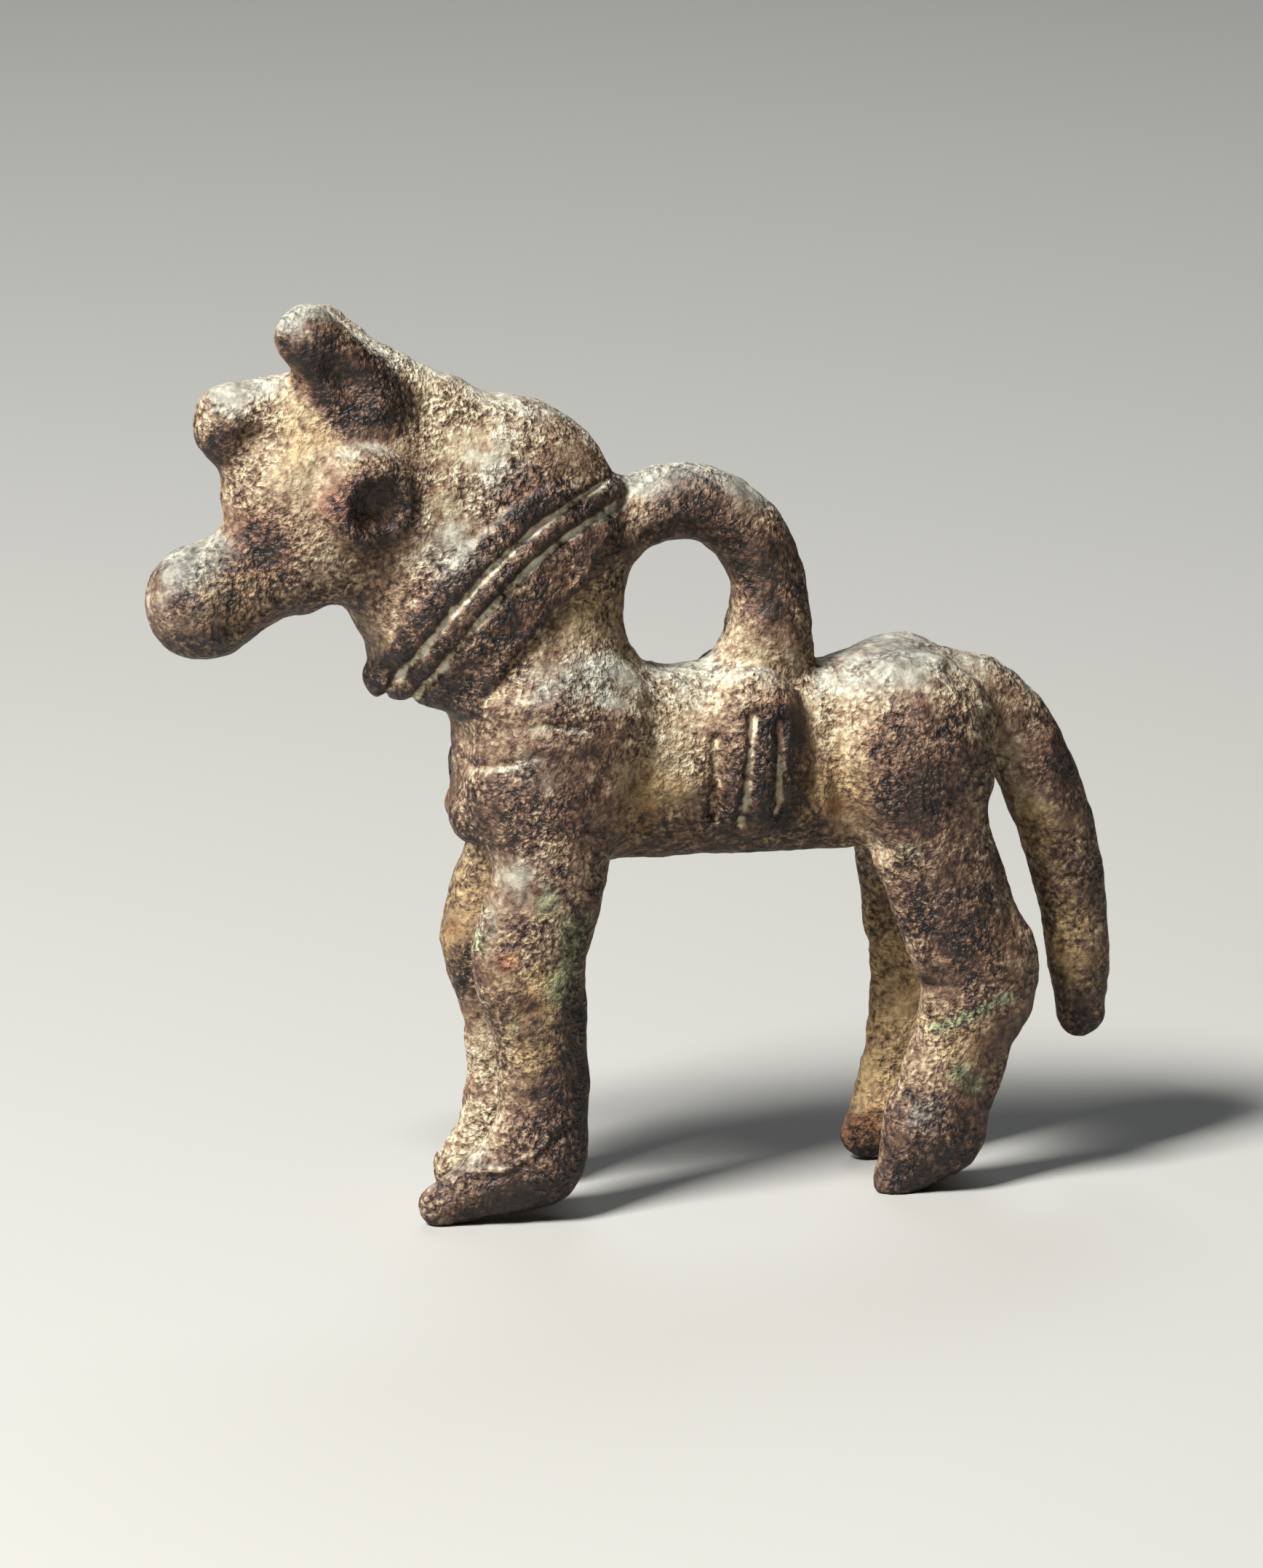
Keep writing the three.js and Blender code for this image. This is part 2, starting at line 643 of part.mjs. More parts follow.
function geometryOf(made) {
  const mesh = made.getMesh();
  return new THREE.BufferGeometry()
    .setAttribute("position", new THREE.BufferAttribute(mesh.vertProperties, 3))
    .setIndex(new THREE.BufferAttribute(mesh.triVerts, 1));
}

const traced = trace(horse, LOW, HIGH, GRID_STEP);
settle(horse, traced.points, GRID_STEP);
for (let round = 0; round < EVENING_ROUNDS; round++) even(horse, traced, GRID_STEP);
const thinned = thin(split(horse, traced), FACE_BUDGET);
const CLEAR_OF_CUT = 0.05; // a point this close to the cut would leave slivers
for (const p of thinned.points) if (Math.abs(p[2]) < CLEAR_OF_CUT) p[2] = -CLEAR_OF_CUT;
const casting = new THREE.BufferGeometry()
  .setAttribute("position", new THREE.Float32BufferAttribute(thinned.points.flat(), 3))
  .setIndex(thinned.faces.flat());

// The soles are ground flat where the horse stands.
const below = new THREE.BoxGeometry(FAR, FAR, FAR);
below.translate(0, 0, -FAR / 2);
below.deleteAttribute("normal");
below.deleteAttribute("uv");
const horseGeometry = geometryOf(solid(casting).subtract(solid(mergeVertices(below))));
horseGeometry.computeVertexNormals();

const bronze = new THREE.MeshStandardMaterial({
  color: 0x5a4636,
  roughness: 0.62,
  metalness: 0.55,
});
const horseMesh = new THREE.Mesh(horseGeometry, bronze);
horseMesh.name = "horse_with_loop";

const figurine = new THREE.Group();
figurine.add(horseMesh);
export default figurine;
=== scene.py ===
import math
from itertools import product

import bpy
import numpy as np
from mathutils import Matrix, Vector


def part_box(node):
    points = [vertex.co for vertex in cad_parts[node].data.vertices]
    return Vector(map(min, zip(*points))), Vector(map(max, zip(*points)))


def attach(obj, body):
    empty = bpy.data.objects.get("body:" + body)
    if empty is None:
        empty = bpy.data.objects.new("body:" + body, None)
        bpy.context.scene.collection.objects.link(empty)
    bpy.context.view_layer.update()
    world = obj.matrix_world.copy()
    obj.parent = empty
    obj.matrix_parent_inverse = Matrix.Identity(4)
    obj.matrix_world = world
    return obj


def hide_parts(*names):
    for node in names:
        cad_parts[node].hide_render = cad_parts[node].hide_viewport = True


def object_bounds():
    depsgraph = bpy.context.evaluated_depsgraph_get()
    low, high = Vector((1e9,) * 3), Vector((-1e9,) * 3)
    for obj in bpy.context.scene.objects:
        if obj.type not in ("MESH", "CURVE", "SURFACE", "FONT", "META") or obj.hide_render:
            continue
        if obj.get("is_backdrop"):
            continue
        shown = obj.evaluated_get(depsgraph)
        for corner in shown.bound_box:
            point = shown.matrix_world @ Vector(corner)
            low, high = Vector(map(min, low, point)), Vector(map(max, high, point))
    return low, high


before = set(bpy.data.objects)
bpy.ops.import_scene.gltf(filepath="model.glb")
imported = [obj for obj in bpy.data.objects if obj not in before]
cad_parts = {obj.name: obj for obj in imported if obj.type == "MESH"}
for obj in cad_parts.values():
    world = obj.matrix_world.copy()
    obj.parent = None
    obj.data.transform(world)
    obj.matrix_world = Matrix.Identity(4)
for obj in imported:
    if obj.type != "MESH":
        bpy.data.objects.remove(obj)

cad_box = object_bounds()

# Camera
# The photograph's view: the horse's left side, seen a little from its front and from above, with
# a long lens. The lens looks at a point just under the middle of the barrel.
VIEW_TURN = math.radians(-15)
VIEW_RISE = math.radians(13)
LENS = 200.0
SENSOR = 36.0
VIEW_DISTANCE = 0.4528
LOOK_AT = Vector((-0.00038, 0.0, 0.022))

towards_camera = Vector((
    math.sin(VIEW_TURN) * math.cos(VIEW_RISE),
    -math.cos(VIEW_TURN) * math.cos(VIEW_RISE),
    math.sin(VIEW_RISE),
))
lens = bpy.data.cameras.new("camera")
lens.lens = LENS
lens.sensor_width = SENSOR
lens.clip_start = 0.01
lens.clip_end = 20.0
camera = bpy.data.objects.new("camera", lens)
bpy.context.scene.collection.objects.link(camera)
camera.location = LOOK_AT + towards_camera * VIEW_DISTANCE
camera.rotation_euler = towards_camera.to_track_quat("Z", "Y").to_euler()
bpy.context.scene.camera = camera

# The horse
# A small horse of solid bronze, cast in one piece with the hanging loop on its withers. The wax
# was built up from rounded masses, and the harness and the ribs were cut into it with a point.
# Its sizes are in millimetres, and MM turns them into metres at the end.
MM = 0.001
LEG_SPREAD = 3.3
LOOP = {"x": 2.0, "z": 31.4, "half_width": 5.0, "half_height": 5.5, "wire": 1.97}
# Widths of the fillets between masses
TIGHT = 0.5
CRISP = 0.7
SOFT = 1.2
FLOWING = 2.4
FAR = 60.0  # larger than anything on the horse
NEARBY = 3.0  # a mass is measured out to this far from its own box
TINY = 1e-9
BARS_PER_SPAN = 3
LESS_ACROSS = np.array([1, 0.4, 1])  # how much a gap along each axis counts


def boxed(distance, low, high):
    """A mass is measured only near its own box: further off, the distance to the box will do."""
    low, high = np.array(low, float), np.array(high, float)

    def measured(p):
        gap = np.linalg.norm(np.maximum(np.maximum(low - p, p - high), 0), axis=1)
        close = gap < NEARBY
        gap[close] = distance(p[close])
        return gap

    return measured


def egg(centre, radii, lean=0.0):
    """An egg with three radii, leaned in the x-z plane by an angle in degrees."""
    centre, radii = np.array(centre), np.array(radii)
    c, s = math.cos(math.radians(lean)), math.sin(math.radians(lean))

    def distance(p):
        d = p - centre
        d = np.stack([c * d[:, 0] + s * d[:, 2], d[:, 1], c * d[:, 2] - s * d[:, 0]], 1) / radii
        k = np.linalg.norm(d, axis=1)
        return k * (k - 1) / np.maximum(np.linalg.norm(d / radii, axis=1), TINY)

    reach = np.array([max(radii[0], radii[2]), radii[1], max(radii[0], radii[2])])
    return boxed(distance, centre - reach, centre + reach)


def bar(start, start_radius, end, end_radius, flat=1.0):
    """A tapering bar with round ends, squeezed sideways about its own axis by `flat`."""
    start, end = np.array(start, float), np.array(end, float)
    squeeze = np.array([1, flat, 1])
    axis = (end - start) / squeeze
    fat = max(start_radius, end_radius)

    def distance(p):
        d = (p - start) / squeeze
        t = np.clip(d @ axis / (axis @ axis), 0, 1)
        away = np.linalg.norm(d - t[:, None] * axis, axis=1)
        return (away - start_radius - t * (end_radius - start_radius)) * min(1, flat)

    return boxed(distance, np.minimum(start, end) - fat, np.maximum(start, end) + fat)


def flow(stations, share):
    """The point at a share of the way along the smooth curve through all the stations."""
    whole = share * (len(stations) - 1)
    first = min(int(whole), len(stations) - 2)
    t = whole - first
    ends = [2 * stations[0] - stations[1], *stations, 2 * stations[-1] - stations[-2]]
    a, b, c, d = ends[first:first + 4]
    before, span, after = (np.linalg.norm(q - p) ** 0.5 for p, q in ((a, b), (b, c), (c, d)))
    span = span or 1.0
    before, after = before or span, after or span
    leave = ((b - a) / before - (c - a) / (before + span) + (c - b) / span) * span
    arrive = ((c - b) / span - (d - b) / (span + after) + (d - c) / after) * span
    bend = -3 * b + 3 * c - 2 * leave - arrive
    return b + t * (leave + t * (bend + t * (2 * b - 2 * c + leave + arrive)))


def limb(stations, flat=1.0):
    """A limb: a smooth curve through (x, y, z, radius) stations, as short bars end to end."""
    stations = np.array(stations, float)
    count = BARS_PER_SPAN * (len(stations) - 1)
    path = [flow(list(stations[:, :3]), i / count) for i in range(count + 1)]
    girth = [flow(list(stations[:, 3:]), i / count)[0] for i in range(count + 1)]
    ends = zip(path, girth, path[1:], girth[1:])
    bars = [bar(a, ra, b, rb, flat) for a, ra, b, rb in ends]
    fat = stations[:, 3].max()

    def distance(p):
        return np.minimum.reduce([one(p) for one in bars])

    return boxed(distance, np.min(path, axis=0) - fat, np.max(path, axis=0) + fat)


def ring(x, z, half_width, half_height, wire):
    """An upright ring of round wire in the x-z plane."""
    halves = np.array([half_width, half_height])

    def distance(p):
        d = (p[:, [0, 2]] - (x, z)) / halves
        k = np.linalg.norm(d, axis=1)
        oval = k * (k - 1) / np.maximum(np.linalg.norm(d / halves, axis=1), TINY)
        return np.hypot(oval, p[:, 1]) - wire

    reach = np.array([half_width + wire, wire, half_height + wire])
    return boxed(distance, (x, 0, z) - reach, (x, 0, z) + reach)


def join(a, b, soft):
    """Joins two masses with a fillet of the given width."""
    h = np.maximum(soft - np.abs(a - b), 0) / soft
    return np.minimum(a, b) - h * h * soft / 4


def carve(a, b, soft):
    """Cuts one mass out of another, with a rounded edge."""
    return -join(-a, b, soft)


def stroke(distance, half_width):
    """Strength of a groove or ridge at a distance from its middle line, 1 on the line."""
    return np.exp(-((distance / half_width) ** 2))


def smooth(value, low, high):
    """Rises from 0 at the low limit to 1 at the high one."""
    t = np.clip((value - low) / (high - low), 0, 1)
    return t * t * (3 - 2 * t)


def between(value, low, high, fade):
    """1 between two limits, falling to 0 over `fade` outside them."""
    return smooth(value, low - fade, low) * (1 - smooth(value, high, high + fade))


def from_path(p, path):
    """How far points are from a path of straight pieces, in as many axes as the path has. Gaps
    across the horse count less, so that a path need not lie quite on the skin."""
    path = np.array(path, float)
    if path.shape[1] == 3:
        path, p = path * LESS_ACROSS, p * LESS_ACROSS
    else:
        p = p[:, [0, 2]]
    least = np.full(len(p), FAR)
    for a, b in zip(path, path[1:]):
        t = np.clip((p - a) @ (b - a) / ((b - a) @ (b - a)), 0, 1)
        least = np.minimum(least, np.linalg.norm(p - a - t[:, None] * (b - a), axis=1))
    return least


# Trunk: barrel, shoulders, chest and rump
barrel = bar((-4.0, 0, 23.4), 5.2, (11, 0, 22.9), 4.9, 0.78)
chest = egg((-5.6, 0, 23.6), (3.6, 3.6, 5.6))
shoulder = egg((-4.5, -2.5, 25.8), (5.0, 2.9, 4.0), -8)
fore_arm = egg((-5.3, -2.6, 22.8), (4.7, 2.9, 4.4))
upper_arm = bar((-5.4, -2.9, 21.5), 3.4, (-5.9, -3.2, 16.0), 2.6, 0.8)
chest_knob = egg((-9.15, -1.2, 21.2), (1.3, 1.6, 1.5))
rump = egg((14.6, 0, 24.2), (5.1, 4.2, 4.4))
haunch = egg((14.1, -2.6, 23.2), (4.5, 3.0, 5.5))
flank = egg((5.3, -2.8, 24.1), (3.0, 2.1, 4.5))

RIBS = [
    [(3.1, 25.0), (3.1, 20.8)],
    [(4.9, 26.2), (4.5, 20.3)],
    [(6.4, 25.8), (6.4, 20.9)],
]
RIB_GROOVE = {"half_width": 0.3, "depth": 0.4, "side": 2.6, "fade": 0.8}
BREAST_LINE = [(-10.2, 23.9), (-7.0, 24.7), (-3.6, 24.8)]
BREAST_GROOVE = {"half_width": 0.28, "depth": 0.2, "side": 1.5, "fade": 1.0}


def groove(p, path, half_width, depth, side, fade):
    """How deep a groove that follows a path in side view is cut, from `side` outwards."""
    on_side = between(np.abs(p[:, 1]), side, FAR, fade)
    return depth * stroke(from_path(p, path), half_width) * on_side


def rib_grooves(p):
    return sum(groove(p, rib, **RIB_GROOVE) for rib in RIBS)


def breast_groove(p):
    return groove(p, BREAST_LINE, **BREAST_GROOVE)


def trunk(p, q):
    d = join(barrel(p), chest(p), FLOWING)
    d = join(d, rump(p), FLOWING)
    d = join(d, shoulder(q), CRISP)
    d = join(d, fore_arm(q), CRISP)
    d = join(d, upper_arm(q), CRISP)
    d = join(d, chest_knob(q), TIGHT)
    d = join(d, haunch(q), CRISP)
    d = join(d, flank(q), CRISP)
    return d + rib_grooves(p) + breast_groove(p)


# Neck with its hump of mane, and the harness collar round its root
mane = egg((-7.5, 0, 37.3), (6.2, 3.5, 5.6), -14)
throat = egg((-11.2, 0, 34.0), (4.1, 3.3, 5.0), -20)
neck_root = bar((-8.6, 0, 32.4), 4.6, (-5.6, 0, 28.6), 5.0, 0.8)
withers = egg((-3.6, 0, 33.6), (2.6, 2.7, 5.2), -10)
collar_point = bar((-13.5, 0, 28.5), 0.8, (-10.6, 0, 29.0), 2.3, 0.9)
COLLAR = {
    "centre": (3.2, 21.6),
    "radius": 18.1,
    "inner": -4.1,
    "outer": 1.0,
    "edge": 0.55,
    "raise": 0.35,
    "grooves": (-0.35, -1.75),
    "half_width": 0.27,
    "depth": 0.32,
    "lowest": 27,
    "highest": 38.2,
    "fade": 0.8,
}


def collar(p):
    """The height of the collar's band and the depth of its grooves."""
    x, z = COLLAR["centre"]
    reach = np.hypot(p[:, 0] - x, p[:, 2] - z) - COLLAR["radius"]
    present = between(p[:, 2], COLLAR["lowest"], COLLAR["highest"], COLLAR["fade"])
    band = COLLAR["raise"] * between(reach, COLLAR["inner"], COLLAR["outer"], COLLAR["edge"])
    lines = sum(stroke(reach - middle, COLLAR["half_width"]) for middle in COLLAR["grooves"])
    return band * present, COLLAR["depth"] * lines * present


def neck(p):
    d = join(mane(p), throat(p), FLOWING)
    d = join(d, neck_root(p), FLOWING)
    d = join(d, withers(p), SOFT)
    d = join(d, collar_point(p), TIGHT)
    band, grooves = collar(p)
    return d - band + grooves


# Head, forelock, ears and eyes
muzzle = limb([(-23.0, 0, 32.9, 3.0), (-20.2, 0, 34.3, 2.75), (-17.4, 0, 35.8, 3.6)], 0.92)
skull = egg((-17.3, 0, 38.6), (4.7, 3.3, 3.9), 10)
cheek = egg((-13.6, 0, 38.2), (4.4, 3.4, 4.6))
forelock = bar((-21.2, 0, 42.0), 2.25, (-17.6, 0, 42.2), 2.3, 0.8)
fore_top = egg((-20.9, -2.3, 41.6), (0.9, 0.8, 0.75))
near_ear = bar((-17.85, -1.6, 46.65), 1.65, (-14.6, -1.3, 43.2), 2.1, 0.75)
far_ear = bar((-16.4, 1.6, 46.2), 1.5, (-14.2, 1.3, 43.0), 2.1, 0.75)
poll = bar((-15.8, 0.3, 45.4), 1.2, (-10.6, 0, 42.0), 2.15, 0.8)
ear_hollow = egg((-16.2, -3.7, 44.4), (2.3, 1.4, 1.0), -46)
eye_boss = egg((-15.2, -2.8, 38.5), (2.7, 1.6, 2.75))
eye_socket = egg((-14.55, -4.6, 37.9), (1.7, 1.45, 1.75))
nostril_nick = egg((-23.2, 0, 36.5), (0.5, 1.4, 0.45))
EYE_CREASE = {
    "centre": (-15.2, 38.5),
    "radius": 2.8,
    "half_width": 0.4,
    "depth": 0.12,
    "side": 2.4,
    "fade": 0.6,
}


def eye_crease(p):
    """A groove round the boss of the eye, cut from `side` outwards."""
    x, z = EYE_CREASE["centre"]
    ring_gap = np.hypot(p[:, 0] - x, p[:, 2] - z) - EYE_CREASE["radius"]
    cut = EYE_CREASE["depth"] * stroke(ring_gap, EYE_CREASE["half_width"])
    return cut * between(np.abs(p[:, 1]), EYE_CREASE["side"], FAR, EYE_CREASE["fade"])


def head(p, q):
    d = join(muzzle(p), skull(p), SOFT)
    d = join(d, cheek(p), FLOWING)
    d = join(d, forelock(p), SOFT)
    d = join(d, poll(p), SOFT)
    d = join(d, np.minimum(near_ear(p), far_ear(p)), SOFT)
    d = join(d, eye_boss(q), CRISP)
    for cut in (eye_socket(q), ear_hollow(q), fore_top(q), nostril_nick(p)):
        d = carve(d, cut, TIGHT)
    return d + eye_crease(q)


# Legs: thick, with a knee or hock, ending in a long-toed or broken foot
FLAT_FORELEG = 0.74
FLAT_HIND_LEG = 0.6
near_fore = limb([
    (-5.4, -LEG_SPREAD, 18.5, 2.7),
    (-6.75, -LEG_SPREAD, 14.2, 3.0),
    (-6.1, -LEG_SPREAD, 9.6, 2.45),
    (-6.0, -LEG_SPREAD, 5.4, 2.35),
], FLAT_FORELEG)
near_fore_foot = bar((-11.5, -LEG_SPREAD, 0.95), 1.15, (-6.5, -LEG_SPREAD, 3.0), 2.6, 0.82)
far_fore = limb([
    (-5.6, LEG_SPREAD, 18.5, 2.7),
    (-6.8, LEG_SPREAD, 13.8, 3.0),
    (-6.1, LEG_SPREAD, 9.2, 2.45),
    (-6.0, LEG_SPREAD, 5.4, 2.35),
], FLAT_FORELEG)
far_fore_foot = bar((-9.0, LEG_SPREAD, 1.1), 1.3, (-6.4, LEG_SPREAD, 3.0), 2.65, 0.82)
near_hind = limb([
    (14.7, -LEG_SPREAD, 19.5, 3.3),
    (16.6, -LEG_SPREAD, 14.0, 3.1),
    (17.7, -LEG_SPREAD, 11.6, 3.2),
    (16.8, -LEG_SPREAD, 8.2, 2.7),
    (15.3, -LEG_SPREAD, 3.9, 2.65),
], FLAT_HIND_LEG)
near_hind_foot = bar((13.2, -LEG_SPREAD, 0.6), 1.3, (15.1, -LEG_SPREAD, 2.9), 2.3, 0.75)
far_hind = limb([
    (15.3, LEG_SPREAD, 19.5, 2.7),
    (15.9, LEG_SPREAD, 14.0, 2.8),
    (16.5, LEG_SPREAD, 11.6, 2.9),
    (16.2, LEG_SPREAD, 8.2, 2.6),
    (15.3, LEG_SPREAD, 3.4, 2.3),
], FLAT_HIND_LEG)
far_hind_foot = bar((13.4, LEG_SPREAD, 1.3), 1.25, (15.0, LEG_SPREAD, 2.5), 2.0, 0.75)


def legs(p):
    return np.minimum.reduce([
        join(near_fore(p), near_fore_foot(p), SOFT),
        join(far_fore(p), far_fore_foot(p), SOFT),
        join(near_hind(p), near_hind_foot(p), SOFT),
        join(far_hind(p), far_hind_foot(p), SOFT),
    ])


# Tail, hanging free behind the hocks and broken off blunt
tail = limb([
    (15.6, 0, 25.4, 2.4),
    (18.0, 0, 25.8, 2.15),
    (20.8, 0, 23.0, 2.15),
    (22.3, 0, 19.7, 2.05),
    (23.5, 0, 15.7, 1.9),
    (24.1, 0, 11.7, 1.7),
    (24.3, 0, 8.2, 1.3),
], 0.9)
loop = ring(**LOOP)
loop_foot = bar((7.0, 0, 30.0), 1.9, (7.8, 0, 26.0), 2.0)
saddle = egg((2.0, 0, 31.1), (2.95, 5.5, 2.7))

# Finer marks, left by the wax and the tool. Each is a path on the skin, with its half width and
# its depth, which is negative where it is raised.
MARKS = {
    "hoof_edge": (
        [
            (-11.9, -3.2, 1.9),
            (-10.2, -4.1, 3.0),
            (-8.5, -4.9, 3.1),
            (-6.5, -5.3, 4.5),
            (-5.3, -5.0, 5.8),
        ],
        0.2,
        -0.14,
    ),
    "hoof_groove": (
        [
            (-11.3, -3.6, 1.9),
            (-9.7, -4.5, 2.5),
            (-8.0, -5.1, 2.9),
            (-6.3, -5.3, 4.0),
            (-5.2, -5.1, 5.1),
        ],
        0.16,
        0.1,
    ),
    "shoulder_scratch": (
        [(-9.8, -3.9, 25.9), (-7.7, -4.8, 26.4), (-5.9, -5.2, 26.5), (-4.2, -5.2, 26.2)],
        0.16,
        0.2,
    ),
    "shoulder_ridge": ([(-9.6, -4.2, 27.0), (-6.9, -4.9, 27.5), (-4.4, -5.0, 27.2)], 0.4, -0.12),
    "breast_ridge": (
        [(-9.2, -4.0, 23.9), (-7.4, -4.9, 24.5), (-6.0, -5.3, 24.7), (-3.8, -5.3, 24.8)],
        0.22,
        -0.15,
    ),
    "casting_flash": ([(14.1, -4.4, 13.4), (14.3, -4.2, 11.8), (14.6, -3.9, 10.2)], 0.42, -0.2),
    "tail_crack": ([(20.9, -1.0, 15.9), (22.1, -1.9, 15.7), (23.2, -1.8, 15.9)], 0.16, 0.16),
    "far_foot_crack": ([(12.1, 1.6, 2.5), (13.0, 1.6, 2.2), (14.2, 1.8, 2.5)], 0.2, 0.2),
    "collar_crest": (
        [(-9.0, -3.3, 28.6), (-7.2, -3.9, 30.5), (-4.4, -3.3, 33.2), (-2.4, -2.7, 36.0)],
        0.2,
        -0.15,
    ),
}

# Creases where one mass meets the next, cut a little deeper than the flow of the wax leaves them
CREASES = {
    "behind_shoulder": (
        [
            (-2.9, -4.6, 28.0),
            (-0.6, -4.4, 26.9),
            (-0.1, -4.2, 25.6),
            (-0.8, -4.3, 23.9),
            (-1.6, -4.4, 21.2),
        ],
        0.45,
        0.3,
    ),
    "behind_flank": ([(8.2, -3.8, 26.4), (8.7, -3.8, 24.6), (8.5, -3.8, 22.2)], 0.4, 0.2),
    "before_haunch": (
        [(9.7, -3.7, 26.0), (9.5, -3.8, 23.4), (10.1, -3.8, 20.8), (11.9, -4.0, 18.6)],
        0.5,
        0.3,
    ),
    "before_tail": (
        [(15.9, -3.6, 27.8), (17.2, -3.9, 25.9), (18.2, -3.6, 24.1), (18.9, -2.0, 22.3)],
        0.45,
        0.35,
    ),
}


# The near side of each pair is given, and the far side stands a little further back.
FAR_SIDE_BACK = 0.5
SOLE_ROUNDING = 0.15


def horse(p):
    back = FAR_SIDE_BACK * smooth(p[:, 1], -1, 1)
    q = np.stack([p[:, 0] - back, -np.abs(p[:, 1]), p[:, 2]], 1)
    d = join(trunk(p, q), neck(p), SOFT)
    d = join(d, head(p, q), SOFT)
    d = join(d, legs(p), TIGHT)
    d = join(d, tail(p), TIGHT)
    d = join(d, join(loop(p), loop_foot(p), SOFT), TIGHT)
    d = carve(d, saddle(p), TIGHT)
    for path, half_width, depth in [*MARKS.values(), *CREASES.values()]:
        d = d + depth * stroke(from_path(p, path), half_width)
    return carve(d, p[:, 2], SOLE_ROUNDING)


# Tracing the skin. A cell of the grid that the skin crosses gets one point, and each grid edge
# that it crosses gets a four-sided face between the points of the cells round that edge.
LOW = np.array([-27.5, -7.0, -1.5])
HIGH = np.array([27.5, 7.0, 50.5])
GRID_STEP = 0.232
BLOCK = 8  # grid points along each side of a block
BLOCK_REACH = 1.3  # how far from a block's middle the skin may lie, in block sides
PROBE = 0.02
FLAT_SPOT = 0.05  # the least steepness that a point is moved by
MOST_SWEEPS = 12
EVENING_ROUNDS = 3
LEANS = np.array([(1, -1, -1), (-1, -1, 1), (-1, 1, -1), (1, 1, 1)])


def grid_values(field, low, high, step):
    """The field on a grid, worked out only in blocks that the skin can reach."""
    count = np.ceil((high - low) / step / BLOCK).astype(int)
    spot = np.stack(np.meshgrid(*map(np.arange, count), indexing="ij"), -1).reshape(-1, 3)
    inner = np.stack(np.meshgrid(*[np.arange(BLOCK)] * 3, indexing="ij"), -1).reshape(-1, 3) * step
    first = low + spot * BLOCK * step
    middle = field(first + BLOCK * step / 2)
    values = np.repeat(middle[:, None], BLOCK ** 3, axis=1)
    near = np.abs(middle) < BLOCK * step * BLOCK_REACH
    inside = (first[near][:, None] + inner).reshape(-1, 3)
    values[near] = field(inside).reshape(-1, BLOCK ** 3)
    values = values.reshape(*count, BLOCK, BLOCK, BLOCK).transpose(0, 3, 1, 4, 2, 5)
    return values.reshape(count * BLOCK)


def unpinch(values):
    """A face of the grid whose corners lie in and out by turns would pinch the net to a line
    there, so its corner nearest the skin changes sides."""
    for _ in range(MOST_SWEEPS):
        pinched = 0
        for axis in range(3):
            v = np.moveaxis(values, axis, 0)
            parts = v[:, :-1, :-1], v[:, 1:, :-1], v[:, 1:, 1:], v[:, :-1, 1:]
            a, b, c, d = (part < 0 for part in parts)
            for i, j, k in np.argwhere((a == c) & (b == d) & (a != b)):
                four = (i, j, k), (i, j + 1, k), (i, j + 1, k + 1), (i, j, k + 1)
                least = min(four, key=lambda n: abs(v[n]))
                v[least] = -v[least] or -TINY
                pinched += 1
        if not pinched:
            return


def trace(field, low, high, step):
    values = grid_values(field, low, high, step)
    unpinch(values)
    inside = values < 0
    x, y, z = values.shape
    total = sum(
        inside[a:x - 1 + a, b:y - 1 + b, c:z - 1 + c].astype(int)
        for a, b, c in product((0, 1), repeat=3)
    )
    mixed = (total > 0) & (total < 8)
    cells = np.argwhere(mixed)
    number = np.full(mixed.shape, -1)
    number[mixed] = np.arange(len(cells))

    sums = np.zeros((len(cells), 3))
    hits = np.zeros(len(cells))
    for axis, a, b in product(range(3), (0, 1), (0, 1)):
        start = np.zeros(3, int)
        start[(axis + 1) % 3] = a
        start[(axis + 2) % 3] = b
        step_on = np.eye(3, dtype=int)[axis]
        v0 = values[tuple((cells + start).T)]
        v1 = values[tuple((cells + start + step_on).T)]
        cut = (v0 < 0) != (v1 < 0)
        share = v0[cut] / (v0[cut] - v1[cut])
        sums[cut] += start + share[:, None] * step_on
        hits += cut
    points = low + (cells + sums / hits[:, None]) * step

    quads = []
    for axis in range(3):
        turn = (axis, (axis + 1) % 3, (axis + 2) % 3)
        v, n = inside.transpose(turn), number.transpose(turn)
        i, j, k = (np.argwhere(v[:-1, 1:-1, 1:-1] != v[1:, 1:-1, 1:-1]) + (0, 1, 1)).T
        quad = np.stack([n[i, j - 1, k - 1], n[i, j, k - 1], n[i, j, k], n[i, j - 1, k]], 1)
        outward = v[i, j, k]
        quads += [quad[outward], quad[~outward][:, ::-1]]
    return points, np.concatenate(quads)


def slope(field, p):
    """Which way the field climbs: on the skin this points straight out."""
    return sum(lean * field(p + lean * PROBE)[:, None] for lean in LEANS) / (4 * PROBE)


def settle(field, points, step):
    """Moves each point along the slope of the field, onto the skin."""
    steepest = slope(field, points)
    steep = np.maximum((steepest ** 2).sum(1), FLAT_SPOT)
    move = np.clip(field(points) / steep, -step / 2, step / 2)
    return points - move[:, None] * steepest


def even(points, quads):
    """Evens out the net: each point moves half the way to the middle of its neighbours."""
    start, end = quads.ravel(), np.roll(quads, -1, axis=1).ravel()
    sums = [np.bincount(start, points[end, k], len(points)) for k in range(3)]
    return (points + np.stack(sums, 1) / np.bincount(start)[:, None]) / 2


skin, faces = trace(horse, LOW, HIGH, GRID_STEP)
skin = settle(horse, skin, GRID_STEP)
for _ in range(EVENING_ROUNDS):
    skin = settle(horse, even(skin, faces), GRID_STEP)

